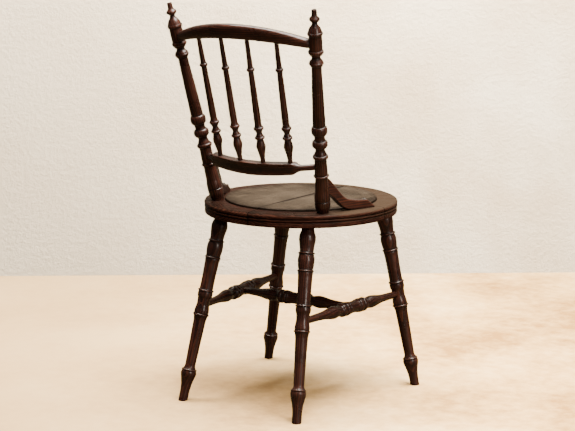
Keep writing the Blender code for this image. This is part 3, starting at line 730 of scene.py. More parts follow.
CREST_UP = 380 * MM
CREST_ARCH = 33 * MM
CREST_BOW = 38.5 * MM
CREST_HALF_DEPTH = 15.8 * MM
CREST_HALF_THICKNESS = 9 * MM
CREST_ELLIPSE = 200 * MM
CREST_DROP = 1.2 * MM
CREST_SLICES = 24
CREST_CREASE = 0.22
RAIL_END = 4 * MM  # how far inside a post's axis a rail stops


def slope_stretch(x, half, rise):
    """How much thicker a slice must be, where the bow slopes."""
    step = 0.5 * MM
    slope = (arc(x + step, half, rise) - arc(x - step, half, rise)) / (2 * step)
    return math.sqrt(1 + slope**2)


def bend_crest():
    span = post_at(CREST_UP)
    half = span - RAIL_END
    bar = bar_with_slices("bent_crest_rail", half, CREST_SLICES)
    for x in slice_places(bar):
        deep = CREST_HALF_DEPTH * math.sqrt(1 - (x / CREST_ELLIPSE) ** 2)
        thick = CREST_HALF_THICKNESS * slope_stretch(x, span, CREST_BOW)
        deep *= slope_stretch(x, span, CREST_ARCH)
        rise, bow = CREST_UP - CREST_DROP + arc(x, span, CREST_ARCH), arc(x, span, CREST_BOW)
        shape_slice(bar, x, x, deep / ROUNDING, thick / ROUNDING, rise, bow, CREST_CREASE)
    return bar


finish_rail(bend_crest(), "crest_rail")

# %% [markdown]
# The lower rail is a flat bar with clear edges, so its long edges are creased. Past its
# shoulders it is cut down to a round neck, where the crease is let go and the section turns round.

# %% The lower rail

RAIL_UP = 107.5 * MM
RAIL_BOW = 40 * MM
RAIL_HALF_DEPTH = 13 * MM
RAIL_HALF_THICKNESS = 8.5 * MM
RAIL_BODY = (98 * MM, 118 * MM)  # to the right and to the left of the middle
RAIL_SHOULDER = 14 * MM
RAIL_NECK = 6.7 * MM
RAIL_BELLY = 1.5 * MM
RAIL_CREASE = 0.72


def lower_rail_section(x):
    """Half depth, half thickness and crease of the lower rail at x."""
    body = RAIL_BODY[x > 0]
    past = abs(x) - body
    if past <= 0:
        belly = RAIL_BELLY * (1 - abs(x) / body)
        return RAIL_HALF_DEPTH + belly, RAIL_HALF_THICKNESS, RAIL_CREASE
    share = min(past / RAIL_SHOULDER, 1.0)
    neck = RAIL_NECK / ROUNDING
    deep = RAIL_HALF_DEPTH + (neck - RAIL_HALF_DEPTH) * share
    thick = RAIL_HALF_THICKNESS + (neck - RAIL_HALF_THICKNESS) * share
    return deep, thick, RAIL_CREASE * (1 - share) ** 2


def lower_rail_slices(span, body):
    """Places of the slices of one side: even along the body, close together over the shoulder."""
    places = list(np.linspace(0, body - 1.2 * MM, 9))
    places += [body - 0.2 * MM, body + 1.6 * MM, body + 7 * MM]
    places += [body + RAIL_SHOULDER - 1 * MM, body + RAIL_SHOULDER + 2 * MM]
    return places + list(np.linspace(body + RAIL_SHOULDER + 5 * MM, span, 3))


def bend_lower_rail():
    span = post_at(RAIL_UP)
    right, left = (lower_rail_slices(span - RAIL_END, body) for body in RAIL_BODY)
    wanted = [-x for x in reversed(right[1:])] + left
    bar = bar_with_slices("bent_lower_rail", span, len(wanted) - 1)
    for x, target in zip(slice_places(bar), wanted):
        deep, thick, crease = lower_rail_section(target)
        thick *= slope_stretch(target, span, RAIL_BOW)
        rise = RAIL_UP - max(0.0, deep - RAIL_HALF_DEPTH)
        bow = arc(target, span, RAIL_BOW)
        shape_slice(bar, x, target, deep, thick, rise, bow, crease)
    return bar


finish_rail(bend_lower_rail(), "lower_rail")

# %% [markdown]
# The seat's rim is built up from four segments, each sawn from a straight board, butted together
# and then shaped round its edge: a rounded lip, a groove, a bead, a second groove and a plain band.
# Its section is drawn once and spun past both joints, so that bisects can cut it off square there.
# The wear of each mark of the section is written beside it: lips are rubbed, grooves are dirty.

# %% The rim's section

rear_box, front_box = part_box("rim_rear_left"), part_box("rim_front_left")
seat_top, seat_low = rear_box[1][2], rear_box[0][2]
rim_back, rim_front = rear_box[1][1], front_box[0][1]
seat_centre = Vector((0, (rim_back + rim_front) / 2, 0))
rim_radius = (rim_back - rim_front) / 2

# Round the section from the ledge's outer corner: out from the rim's edge, down, and the wear.
RIM_SECTION = [
    # the corner of the ledge and the flat top
    (-46.5, 0.6, -0.7), (-45.9, 0.0, -0.3), (-44, 0, 0.0), (-36, 0, 0), (-26, 0, 0), (-16, 0, 0),
    (-9, 0, 0),
    # the rounded lip
    (-5.6, 0.0, 0.15), (-3.4, 0.5, 0.6), (-1.6, 1.6, 0.9), (-0.5, 3.2, 0.7), (0, 5.0, 0.25),
    (-0.1, 7.6, 0.1),
    # the upper groove
    (-0.5, 8.4, 0.7), (-1.6, 8.9, -0.3), (-2.4, 9.4, -0.9), (-2.4, 10.4, -1), (-1.7, 11.0, -0.5),
    # the bead
    (-0.7, 11.6, 0.3), (-0.25, 12.5, 0.7), (-0.2, 13.4, 0.6), (-0.5, 14.4, 0.3), (-1.4, 15.3, -0.3),
    # the lower groove
    (-2.4, 15.8, -0.9), (-2.4, 16.9, -1), (-1.7, 17.5, -0.4),
    # the plain band and its lower edge
    (-1.1, 18.2, 0.4), (-0.9, 20.0, 0.1), (-0.9, 24.0, 0), (-1.0, 26.6, 0.2), (-1.8, 28.0, 0.8),
    (-3.4, 28.5, 0.3),
    # the underside, the inner side and the ledge for the panel
    (-12, 28.5, 0), (-40, 28.5, 0), (-66, 28.5, 0.1), (-67.5, 27.6, 0.4), (-67.5, 18, 0),
    (-67.5, 8.2, 0.1), (-66.8, 7.5, 0), (-56, 7.5, 0), (-46.5, 7.5, -0.6),
]
print("seat", round(2 * rim_radius / MM, 1), "mm across")
print("rim", round((seat_top - seat_low) / MM, 1), "mm thick")

# %% [markdown]
# Each joint runs straight across the rim, but not quite towards the centre, so it is given by two
# angles: at the panel and at the outer edge. A first bisect a little way in only adds a line of
# points, which bounds the dirt that has settled in the joint, and a second one cuts.

# %% Spin the rim and cut its joints

RIM_JOINTS = {
    "rear": (89.6, 92.4), "right": (187.5, 181.8), "front": (269.6, 272.4), "left": (7.5, 1.8),
}
RIM_SEGMENTS = {
    "rear_right": ("rear", "right"), "front_right": ("right", "front"),
    "front_left": ("front", "left"), "rear_left": ("left", "rear"),
}
RIM_INNER = 150 * MM
RIM_STEPS = 34
RIM_EXTRA = 5  # degrees that a segment is spun past each joint
JOINT_WEAR = -1.3
JOINT_GAP = 0.9 * MM
JOINT_DIRT = 1.6 * MM


def round_seat(radius, degrees, height=0.0):
    """A point on a circle about the seat's centre."""
    angle = math.radians(degrees)
    return seat_centre + Vector((radius * math.cos(angle), radius * math.sin(angle), height))


def joint_plane(joint):
    """A point of a joint's upright plane, and the plane's direction."""
    inner, outer = round_seat(RIM_INNER, joint[0]), round_seat(rim_radius, joint[1])
    along = (outer - inner).normalized()
    return inner, Vector((-along.y, along.x, 0))


def cut_joint(joint, facing):
    """In edit mode, cuts all that is selected at a joint. facing is +1 to keep what follows it."""
    inner, normal = joint_plane(joint)
    normal *= facing
    for depth, clear in ((JOINT_GAP / 2 + JOINT_DIRT, False), (JOINT_GAP / 2, True)):
        bpy.ops.mesh.select_all(action="SELECT")
        bpy.ops.mesh.bisect(
            plane_co=inner + normal * depth, plane_no=normal, use_fill=clear, clear_inner=clear,
        )


def spin_segment(name, first_joint, last_joint):
    start, end = RIM_JOINTS[first_joint], RIM_JOINTS[last_joint]
    if end[0] < start[0]:
        end = tuple(angle + 360 for angle in end)
    first, last = min(start) - RIM_EXTRA, max(end) + RIM_EXTRA
    marks = [
        round_seat(rim_radius + out * MM, first, seat_top - down * MM)
        for out, down, _ in RIM_SECTION
    ]
    piece = draw_line(name, marks + marks[:1])
    bpy.ops.mesh.select_all(action="SELECT")
    bpy.ops.mesh.remove_doubles(threshold=0.01 * MM)
    bpy.ops.mesh.select_all(action="SELECT")
    turn = math.radians(last - first)
    bpy.ops.mesh.spin(steps=RIM_STEPS, angle=-turn, center=seat_centre, axis=UP)
    cut_joint(start, 1)
    cut_joint(end, -1)
    close_shell()
    bpy.ops.object.mode_set(mode="OBJECT")
    return piece, (min(start) + max(end)) / 2


def store_rim_wear(piece):
    """Gives each point the wear of the nearest mark of the section, and dirt to the joint faces."""
    points = point_array(piece)
    out = (np.hypot(points[:, 0] - seat_centre.x, points[:, 1] - seat_centre.y) - rim_radius) / MM
    down = (seat_top - points[:, 2]) / MM
    marks = np.array(RIM_SECTION)
    gaps = np.hypot(out[:, None] - marks[:, 0], down[:, None] - marks[:, 1])
    wear = marks[gaps.argmin(axis=1), 2]
    for joint in RIM_JOINTS.values():
        inner, normal = joint_plane(joint)
        wear[np.abs((points - np.array(inner)) @ np.array(normal)) < JOINT_GAP] = JOINT_WEAR
    store(piece, "edge", wear)


for segment, (first_joint, last_joint) in RIM_SEGMENTS.items():
    piece, mid_angle = spin_segment("rim_segment_" + segment, first_joint, last_joint)
    outwards = round_seat(1.0, mid_angle) - seat_centre
    store_grain(piece, outwards, UP, outwards.cross(UP))
    store_rim_wear(piece)
    smooth_by_angle(piece, 32)
    fresh_board(piece)
    hand_over(piece, "rim_" + segment, "rim wood")
    spare = (Vector(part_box("rim_" + segment)[1]) - Vector(np.max(point_array(piece), axis=0))) / MM
    print(segment, "corner is", [round(c, 2) for c in spare], "mm from its node's")

# %% [markdown]
# The round panel is let into the rim and stands a little proud. It was two boards glued edge to
# edge, and the joint has opened: hardly at the back, wide towards the front.
# A disc is cut into a grid by bisects, so its middle can be shaped. Then each half is cut off,
# its joint edge is pushed about a little to follow the crack, and its top edges are rounded.

# %% Saw the seat panel

panel_box = [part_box("panel_left"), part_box("panel_right")]
panel_top, panel_low = panel_box[0][1][2], panel_box[0][0][2]
panel_radius = (panel_box[0][1][1] - panel_box[0][0][1]) / 2
split_x = (panel_box[0][0][0] + panel_box[1][1][0]) / 2
GRID = 14 * MM
DISC_SIDES = 144
CRACK_BEVEL = 0.9 * MM
DISC_BEVEL = 2.0 * MM
DIRT_LINE = 2.2  # mm below the top, or in from the edge


def crack_half_width(y):
    """Half of the crack's width, from the back, where y is high, to the front."""
    share = (seat_centre.y + panel_radius - y) / (2 * panel_radius)
    return (0.35 + 1.25 * share**1.2) * MM


def crack_wander(y):
    """How far the crack strays from a straight line: a slow, a quicker and a fine wave."""
    slow, quicker = 0.7 * math.sin(y * 31 + 0.5), 0.4 * math.sin(y * 83 + 2)
    return (slow + quicker + 0.2 * math.sin(y * 190)) * MM


def sawn_disc(name):
    """A disc cut into a grid, so that it has points to move."""
    start_afresh()
    bpy.ops.mesh.primitive_cylinder_add(
        vertices=DISC_SIDES, radius=panel_radius, depth=panel_top - panel_low,
        location=(seat_centre.x, seat_centre.y, (panel_top + panel_low) / 2),
    )
    disc = name_new_piece(name)
    bpy.ops.object.transform_apply(location=True, rotation=True, scale=True)
    bpy.ops.object.mode_set(mode="EDIT")
    lines = np.arange(-panel_radius + GRID / 2, panel_radius, GRID)
    for line in lines:
        for normal in (ACROSS, BACK):
            place = seat_centre + normal * float(line)
            bpy.ops.mesh.select_all(action="SELECT")
            bpy.ops.mesh.bisect(plane_co=place, plane_no=normal)
    return disc


def on_split(vert):
    return abs(vert.co.x - split_x) < CLOSE


def saw_half(disc, side):
    """Keeps one half of the disc and lets its joint edge follow the crack."""
    half = duplicate_as(disc, f"seat_panel_{side}")
    facing = SIDES[side]
    open_edit(half)
    bpy.ops.mesh.select_all(action="SELECT")
    bpy.ops.mesh.bisect(
        plane_co=(split_x, 0, 0), plane_no=(facing, 0, 0), use_fill=True, clear_inner=True,
    )
    mesh = bmesh.from_edit_mesh(half.data)
    for y in sorted({round(vert.co.y, 5) for vert in mesh.verts if on_split(vert)}):
        pick(half, lambda vert: abs(vert.co.y - y) < CLOSE and on_split(vert))
        shift = crack_wander(y) + facing * crack_half_width(y)
        bpy.ops.transform.translate(value=(shift, 0, 0))
    return half


def on_top(edge):
    return all(abs(vert.co.z - panel_top) <= CLOSE for vert in edge.verts)


def on_disc_edge(edge):
    """Is this one of the edges round the disc's top?"""
    nearest = min((vert.co.xy - seat_centre.xy).length for vert in edge.verts)
    return on_top(edge) and nearest > panel_radius - 0.3 * MM


def on_crack_edge(edge):
    """Is this one of the sharp top edges along the crack?"""
    sharp = len(edge.link_faces) == 2 and edge.calc_face_angle(0) > 1
    return on_top(edge) and sharp and not on_disc_edge(edge)


disc = sawn_disc("panel_disc")
for side in SIDES:
    half = saw_half(disc, side)
    pick(half, on_crack_edge, "EDGE")
    bpy.ops.mesh.bevel(offset=CRACK_BEVEL, segments=3)
    pick(half, on_disc_edge, "EDGE")
    bpy.ops.mesh.bevel(offset=DISC_BEVEL, segments=4)
    bpy.ops.object.mode_set(mode="OBJECT")
    store_grain(half, ACROSS, UP, BACK)
    points = point_array(half)
    from_edge = (panel_radius - np.hypot(*(points - np.array(seat_centre))[:, :2].T)) / MM
    sunk = (panel_top - points[:, 2]) / MM
    rounded = np.where(from_edge < DIRT_LINE, 0.8 - sunk * 0.5, -0.2 * sunk)
    store(half, "edge", np.where(sunk > DIRT_LINE, -1.0, rounded))
    smooth_by_angle(half, 40)
    fresh_board(half)
    hand_over(half, f"panel_{side}", "worn panel")
    print(half.name, len(half.data.polygons), "faces")
bpy.data.objects.remove(disc)

# %% [markdown]
# A brace on each side ties the back to the seat. It was sawn to a drawn outline from a board:
# widest where it meets the post, hollow under the slope, flat where it lies on the seat, and
# bevelled at the tip. The two are not quite alike, as is common where they were sawn by eye.
# Its outline is drawn point by point, filled, and extruded to its width. A voxel remesh then
# gives even faces, so that the rounding over of its edges can be left to a smoothing pass.

# %% The outline of a brace

BRACE_OVER = [
    (-8, 84), (3.3, 80), (9.7, 76), (17, 69.5), (28, 57.2), (36, 48.6), (43.9, 40.6),
    (50, 34.6), (56.7, 29.4), (62, 26.6), (69.4, 24.4), (80, 22.2), (92, 20.5),
]
BRACE_OVER_TIP = [(-32.0, 19.2), (-21.0, 18.6)]
BRACE_NOSE = 2.2
BRACE_UNDER = [
    (-4, 47), (9.7, 41.5), (21.7, 34.8), (28, 29.8), (34, 24.2), (40.7, 17.8), (48.7, 11.0),
    (57, 6.2), (66, 3.4), (92, 0.9),
]
BRACE_UNDER_TIP = [(-30.0, 0.3), (0.0, 0.3)]
BRACE_LENGTH = {"left": 133.0, "right": 140.6}


def brace_outline(length):
    """Over the brace and back under it: marks from the post, then marks back from the tip."""
    over_tip = [(length + back, height) for back, height in BRACE_OVER_TIP]
    under_tip = [(length + back, height) for back, height in BRACE_UNDER_TIP]
    over = sweep(*BRACE_OVER, *over_tip, spacing=4)
    under = sweep(*BRACE_UNDER, *under_tip, spacing=4)
    return over + [(length, BRACE_NOSE)] + under[::-1]


print("brace outline:", len(brace_outline(BRACE_LENGTH["right"])), "marks")

# %% Saw the braces and round their edges

BRACE_WIDTH = 17.0
BRACE_VOXEL = 1.1 * MM


def brace_ends(side):
    """Where a brace's own upright plane starts and which way it runs, from its node."""
    points = node_points(f"brace_{side}")
    tip = points[points[:, 1] < points[:, 1].min() + 25 * MM].mean(axis=0)
    foot = points[points[:, 2] < seat_top + 9 * MM]
    run = long_way(foot[:, :2])
    run = run * -np.sign(run[1])
    along = Vector((run[0], run[1], 0)).normalized()
    reach = max((Vector((p[0], p[1], 0)) - Vector((tip[0], tip[1], 0))).dot(along) for p in points)
    nose = Vector((tip[0], tip[1], seat_top)) + along * reach
    return nose - along * BRACE_LENGTH[side] * MM, along


def saw_brace(side):
    start, along = brace_ends(side)
    outline = [Vector((x, 0, y)) * MM for x, y in brace_outline(BRACE_LENGTH[side])]
    piece = draw_line(f"sawn_brace_{side}", outline)
    bpy.ops.mesh.select_all(action="SELECT")
    bpy.ops.mesh.edge_face_add()
    bpy.ops.transform.translate(value=(0, -BRACE_WIDTH / 2 * MM, 0))
    bpy.ops.mesh.extrude_region_move(TRANSFORM_OT_translate={"value": (0, BRACE_WIDTH * MM, 0)})
    close_shell()
    bpy.ops.object.mode_set(mode="OBJECT")
    finish_with(piece, "REMESH", mode="VOXEL", voxel_size=BRACE_VOXEL, use_smooth_shade=True)
    finish_with(piece, "SMOOTH", factor=0.5, iterations=6)
    store_grain(piece, BACK, UP, ACROSS)
    store_edges(piece)
    heading = math.atan2(along.y, along.x)
    piece.matrix_world = Matrix.Translation(start) @ Matrix.Rotation(heading, 4, "Z")
    take(piece)
    bpy.ops.object.transform_apply(location=True, rotation=True, scale=True)
    fresh_board(piece)
    hand_over(piece, f"brace_{side}", "turned wood")
    print(piece.name, len(piece.data.polygons), "faces")


for side in SIDES:
    saw_brace(side)

# %% [markdown]
# Ten wood screws hold the chair where glue alone would not. They are alike but for their length:
# a domed head with a slot, filed flat by hand, and a shank that the wood hides. The head is
# turned like the wood, and a thin block cuts the slot.

# %% Screws

SCREW_HEAD = 2.2


def make_screw(name, length):
    """A screw at the origin with its head upwards and its shank below."""
    pattern = [(-length, 0.6), (-length + 4, 1.9), (-0.02, 2.0), (0, 3.5)]
    pattern += sweep((0.15, 3.8), (0.9, 3.6), spacing=0.4)
    pattern += sweep((1.4, 3.2), (1.9, 2.4), (SCREW_HEAD, 1.2), spacing=0.4)
    screw = turn_on_lathe(name, pattern, steps=24)
    start_afresh()
    bpy.ops.mesh.primitive_cube_add(size=1, location=(0, 0, SCREW_HEAD * MM))
    blade = name_new_piece("slot_cutter")
    blade.scale = Vector((0.9, 9, 2.2)) * MM
    finish_with(screw, "BOOLEAN", object=blade, operation="DIFFERENCE", solver="EXACT")
    bpy.data.objects.remove(blade)
    smooth_by_angle(screw, 35)
    return screw


SCREW_TOWARDS = {"brace_seat_screw": DOWN, "post_screw": UP, "panel_screw": UP}
for node in sorted(name for name in frame["nodes"] if "screw" in name):
    kind = node.rsplit("_", 1)[0]
    towards = SCREW_TOWARDS.get(kind)
    if towards is None:  # the screws that pull the braces to the posts point back and inwards
        towards = -brace_ends(node.rsplit("_", 1)[1])[1]
    head, tip = axis_of(node, towards)
    into = (tip - head).normalized()
    under_head = head + into * SCREW_HEAD * MM
    screw = make_screw("slotted_" + node, (tip - under_head).length / MM)
    place_along(screw, under_head, under_head - into, turn=board_number * 2.3)
    fresh_board(screw)
    hand_over(screw, node, "screw steel")
print("screws driven")

# %% [markdown]
# Inside each joint of the rim lies a loose tongue of wood. Nobody sees it while the chair is
# whole, but it is a piece of the chair, so it gets its own softened block.

# %% Loose tongues

TONGUE_SIZE = Vector((34, 24, 6)) * MM


def make_tongue(joint):
    node = f"rim_tongue_{joint}"
    centre = Vector(node_points(node).mean(axis=0))
    angle = math.radians(sum(RIM_JOINTS[joint]) / 2)
    start_afresh()
    bpy.ops.mesh.primitive_cube_add(size=1, location=(0, 0, 0))
    tongue = name_new_piece(f"loose_tongue_{joint}")
    bpy.ops.object.mode_set(mode="EDIT")
    bpy.ops.transform.resize(value=TONGUE_SIZE)
    bpy.ops.mesh.subdivide(number_cuts=5)
    bpy.ops.object.mode_set(mode="OBJECT")
    finish_with(tongue, "BEVEL", width=0.6 * MM, segments=2, limit_method="ANGLE")
    store_grain(tongue, ACROSS, UP, BACK)
    store_edges(tongue)
    tongue.matrix_world = Matrix.Translation(centre) @ Matrix.Rotation(angle, 4, "Z")
    take(tongue)
    bpy.ops.object.transform_apply(location=True, rotation=True, scale=True)
    smooth_by_angle(tongue, 40)
    fresh_board(tongue)
    hand_over(tongue, node, "turned wood")


for joint in RIM_JOINTS:
    make_tongue(joint)
print("pieces made:", sum(len(pieces) for pieces in finishes.values()))

# %% [markdown]
# Materials are built from nodes. These helpers add a node with its settings and join it up, so a
# finish below reads as a recipe.

# %% Node helpers


def add(tree, kind, sockets=(), **settings):
    """Adds a node. sockets are its inputs by name, each a value or another node's output."""
    node = tree.nodes.new("ShaderNode" + kind)
    for name, value in settings.items():
        setattr(node, name, value)
    for name, value in dict(sockets).items():
        join(tree, value, node.inputs[name])
    return node


def join(tree, value, socket):
    if isinstance(value, bpy.types.NodeSocket):
        tree.links.new(value, socket)
    else:
        socket.default_value = value


def maths(tree, operation, *values):
    node = tree.nodes.new("ShaderNodeMath")
    node.operation = operation
    for value, socket in zip(values, node.inputs):
        join(tree, value, socket)
    return node.outputs[0]


def times(tree, first, second):
    return maths(tree, "MULTIPLY", first, second)


def plus(tree, first, second):
    return maths(tree, "ADD", first, second)


def minus(tree, first, second):
    return maths(tree, "SUBTRACT", first, second)


def between(tree, value, low, high, new_low=0.0, new_high=1.0):
    """Maps a value smoothly from one range to another, and holds it at both ends."""
    ends = {"From Min": low, "From Max": high, "To Min": new_low, "To Max": new_high}
    node = add(tree, "MapRange", ends, interpolation_type="SMOOTHSTEP")
    join(tree, value, node.inputs["Value"])
    return node.outputs["Result"]


def blend(tree, share, first, second):
    """Mixes two colours."""
    node = tree.nodes.new("ShaderNodeMix")
    node.data_type = "RGBA"
    sockets = (node.inputs[0], node.inputs[6], node.inputs[7])  # the factor and the two colours
    for value, socket in zip((share, first, second), sockets):
        if isinstance(value, tuple):
            value = (*value, 1.0)
        join(tree, value, socket)
    return node.outputs[2]


def ramp(tree, value, *stops):
    """Turns a value into a colour by stops of (place, colour)."""
    node = tree.nodes.new("ShaderNodeValToRGB")
    join(tree, value, node.inputs["Fac"])
    elements = node.color_ramp.elements
    while len(elements) < len(stops):
        elements.new(0.5)
    for element, (place, colour) in zip(elements, stops):
        element.position = place
        element.color = (*colour, 1.0)
    return node.outputs["Color"]


def speckle(tree, place, scale, detail=3.0, roughness=0.55):
    """Noise of a fineness, as one value for each place."""
    settings = {"Vector": place, "Scale": scale, "Detail": detail, "Roughness": roughness}
    return add(tree, "TexNoise", settings).outputs["Fac"]


def uneven_by(tree, noise, amount):
    """Noise moved to swing about 0, and scaled."""
    return times(tree, minus(tree, noise, 0.5), amount)


def new_group(name, inputs, outputs):
    """An empty node group with named inputs and outputs."""
    tree = bpy.data.node_groups.new(name, "ShaderNodeTree")
    for label, kind in inputs.items():
        tree.interface.new_socket(name=label, in_out="INPUT", socket_type="NodeSocket" + kind)
    for label in outputs:
        tree.interface.new_socket(name=label, in_out="OUTPUT", socket_type="NodeSocketFloat")
    return tree, tree.nodes.new("NodeGroupInput").outputs, tree.nodes.new("NodeGroupOutput").inputs


def use_group(tree, group, **sockets):
    node = tree.nodes.new("ShaderNodeGroup")
    node.node_tree = group
    for label, value in sockets.items():
        join(tree, value, node.inputs[label])
    return node.outputs


# %% [markdown]
# Wood is a bundle of long fibres in yearly rings. The group below cuts the piece out of a tree:
# rings round a heart that lies beside the piece, made uneven by noise that is stretched along the
# fibres, fine streaks that run far along the piece, and short dark pores.

# %% Grain of the wood


def stretched(tree, place, along):
    """The same place, squeezed along the fibres so that a pattern on it is long."""
    parts = add(tree, "SeparateXYZ", {"Vector": place}).outputs
    places = {"X": parts[0], "Y": parts[1], "Z": times(tree, parts[2], along)}
    return add(tree, "CombineXYZ", places).outputs[0]


def build_grain():
    inputs = {"Place": "Vector", "Rings": "Float"}
    outputs = ("Figure", "Streaks", "Pores", "Mottle")
    tree, given, made = new_group("wood_grain", inputs, outputs)
    slow = stretched(tree, given["Place"], 0.10)
    warp = add(tree, "TexNoise", {"Vector": slow, "Scale": 26.0, "Detail": 3.0}).outputs["Color"]
    centred = add(tree, "VectorMath", operation="SUBTRACT")
    join(tree, warp, centred.inputs[0])
    centred.inputs[1].default_value = (0.5, 0.5, 0.5)
    push = add(tree, "VectorMath", {"Scale": 0.016}, operation="SCALE")
    join(tree, centred.outputs[0], push.inputs[0])
    moved = add(tree, "VectorMath", operation="ADD")
    join(tree, slow, moved.inputs[0])
    join(tree, push.outputs[0], moved.inputs[1])
    settings = {"Vector": moved.outputs[0], "Scale": given["Rings"]}
    settings.update({"Distortion": 1.5, "Detail": 2.0})
    shape = {"wave_type": "RINGS", "rings_direction": "Z", "wave_profile": "SAW"}
    rings = add(tree, "TexWave", settings, **shape)
    streaks = speckle(tree, stretched(tree, given["Place"], 0.03), 420.0, 5.0, 0.6)
    join(tree, rings.outputs["Fac"], made["Figure"])
    join(tree, streaks, made["Streaks"])
    dots = speckle(tree, stretched(tree, given["Place"], 0.07), 1700.0, 2.0, 0.5)
    join(tree, between(tree, dots, 0.60, 0.70), made["Pores"])
    join(tree, speckle(tree, given["Place"], 17.0, 4.0), made["Mottle"])
    return tree


grain_group = build_grain()
print("group:", grain_group.name)

# %% [markdown]
# Wear and dirt read the stored "edge". Noise breaks both up, because hands, dusters and shoes
# never touch a chair evenly.

# %% Wear, dirt and dust


def build_wear():
    inputs = {"Place": "Vector", "Edge": "Float", "Spread": "Float"}
    tree, given, made = new_group("edge_wear", inputs, ("Worn", "Dirt"))
    uneven = uneven_by(tree, speckle(tree, given["Place"], 75.0, 4.0, 0.65), given["Spread"])
    join(tree, between(tree, plus(tree, given["Edge"], uneven), 0.35, 1.05), made["Worn"])
    join(tree, between(tree, minus(tree, uneven, given["Edge"]), 0.15, 0.85), made["Dirt"])
    return tree


def upward(tree):
    """How far the surface faces up: 1 for a flat top, 0 for a side."""
    normal = add(tree, "NewGeometry").outputs["Normal"]
    return add(tree, "SeparateXYZ", {"Vector": normal}).outputs[2]


def build_dust():
    tree, given, made = new_group("settled_dust", {"Place": "Vector"}, ("Dust",))
    facing_up = upward(tree)
    patches = between(tree, speckle(tree, given["Place"], 38.0, 5.0, 0.7), 0.38, 0.72)
    join(tree, times(tree, between(tree, facing_up, 0.45, 0.98), patches), made["Dust"])
    return tree


wear_group = build_wear()
dust_group = build_dust()
print("groups:", wear_group.name, "and", dust_group.name)

# %% [markdown]
# The turned wood was stained dark red-brown and varnished. Under the varnish the rings and streaks
# show as warmer and darker lines. Rings and beads are rubbed through to a lighter brown, grooves
# hold black dirt, and a little dust lies on what faces up. A painted shade darkens the colour
# towards the outline of each turning, where its surface is seen at a slant, so that it looks round.

# %% Stained and varnished wood

PORE_COLOUR = (0.006, 0.003, 0.002)
DIRT_COLOUR = (0.005, 0.003, 0.002)
DUST_COLOUR = (0.045, 0.034, 0.025)
# painted shade: the colour that the outline of each turning darkens to
PAINTED_OUTLINE_SHADE = (0.0030, 0.0012, 0.0008)


def new_material(name):
    material = bpy.data.materials.new(name)
    material.use_nodes = True
    shader = material.node_tree.nodes["Principled BSDF"]
    return material, material.node_tree, shader


def stored(tree, name, vector=False):
    node = add(tree, "Attribute", attribute_name=name)
    return node.outputs["Vector" if vector else "Fac"]


def figure_of(tree, grain, ring_share, mottle_share):
    """One value for the figure of the wood: rings, streaks and slow changes."""
    rings = times(tree, grain["Figure"], ring_share)
    figure = plus(tree, rings, times(tree, grain["Streaks"], 1 - ring_share))
    return plus(tree, figure, uneven_by(tree, grain["Mottle"], mottle_share))


def wood_recipe(name, dark, mid, light, rubbed, dust_share, outline_shade_share, shine):
    """The nodes that all varnished wood shares, returned so that a finish can add to them."""
    material, tree, shader = new_material(name)
    place, edge = stored(tree, "grain", vector=True), stored(tree, "edge")
    grain = use_group(tree, grain_group, Place=place, Rings=70.0)
    wear = use_group(tree, wear_group, Place=place, Edge=edge, Spread=1.1)
    dust = use_group(tree, dust_group, Place=place)["Dust"]
    colour = ramp(tree, figure_of(tree, grain, 0.35, 0.55), (0.26, dark), (0.5, mid), (0.76, light))
    colour = blend(tree, times(tree, grain["Pores"], 0.4), colour, PORE_COLOUR)
    colour = blend(tree, times(tree, wear["Worn"], 0.28), colour, rubbed)
    colour = blend(tree, times(tree, wear["Dirt"], 0.85), colour, DIRT_COLOUR)
    colour = blend(tree, times(tree, dust, dust_share), colour, DUST_COLOUR)
    # Painted shade: the colour darkens towards the outline, where the surface is seen at a slant.
    slant = add(tree, "LayerWeight", {"Blend": 0.5}).outputs["Facing"]
    colour = blend(tree, between(tree, slant, 0.30, 0.95, 0.0, outline_shade_share), colour, PAINTED_OUTLINE_SHADE)
    tree.links.new(colour, shader.inputs["Base Color"])
    rough = between(tree, grain["Mottle"], 0.3, 0.7, 0.22, 0.36)
    rough = plus(tree, rough, times(tree, wear["Dirt"], 0.25))
    rough = plus(tree, rough, times(tree, dust, 0.3))
    tree.links.new(rough, shader.inputs["Roughness"])
    height = minus(tree, times(tree, grain["Streaks"], 0.5), grain["Pores"])
    height = plus(tree, height, times(tree, speckle(tree, place, 130.0, 3.0), 1.2))
    bump = add(tree, "Bump", {"Height": height, "Strength": 0.35, "Distance": 0.25 * MM})
    tree.links.new(bump.outputs[0], shader.inputs["Normal"])
    shader.inputs["Specular IOR Level"].default_value = shine
    shader.inputs["Coat Weight"].default_value = shine / 3
    shader.inputs["Coat Roughness"].default_value = 0.12
    return material, tree, shader, colour, rough


turned_wood = wood_recipe(
    "stained_wood",
    dark=(0.0075, 0.0032, 0.0025), mid=(0.0195, 0.0068, 0.0043), light=(0.056, 0.0160, 0.0086),
    rubbed=(0.060, 0.023, 0.014), dust_share=0.04, outline_shade_share=0.85, shine=0.20,
)[0]
print(turned_wood.name, "has", len(turned_wood.node_tree.nodes), "nodes")

# %% [markdown]
# The rim has the same stain, but clothes have rubbed it for years. Its top is dull and dark, and
# on the front, most of all to the right, the varnish is gone and the wood is a grey-brown. The
# rubbing is a mask on the piece's own place: more to that side, strongest where the surface faces
# up, with streaks along the grain.

# %% Wood of the rim


BARE_COLOUR = (0.0240, 0.0155, 0.0098)
DULL_COLOUR = (0.0045, 0.0028, 0.0021)


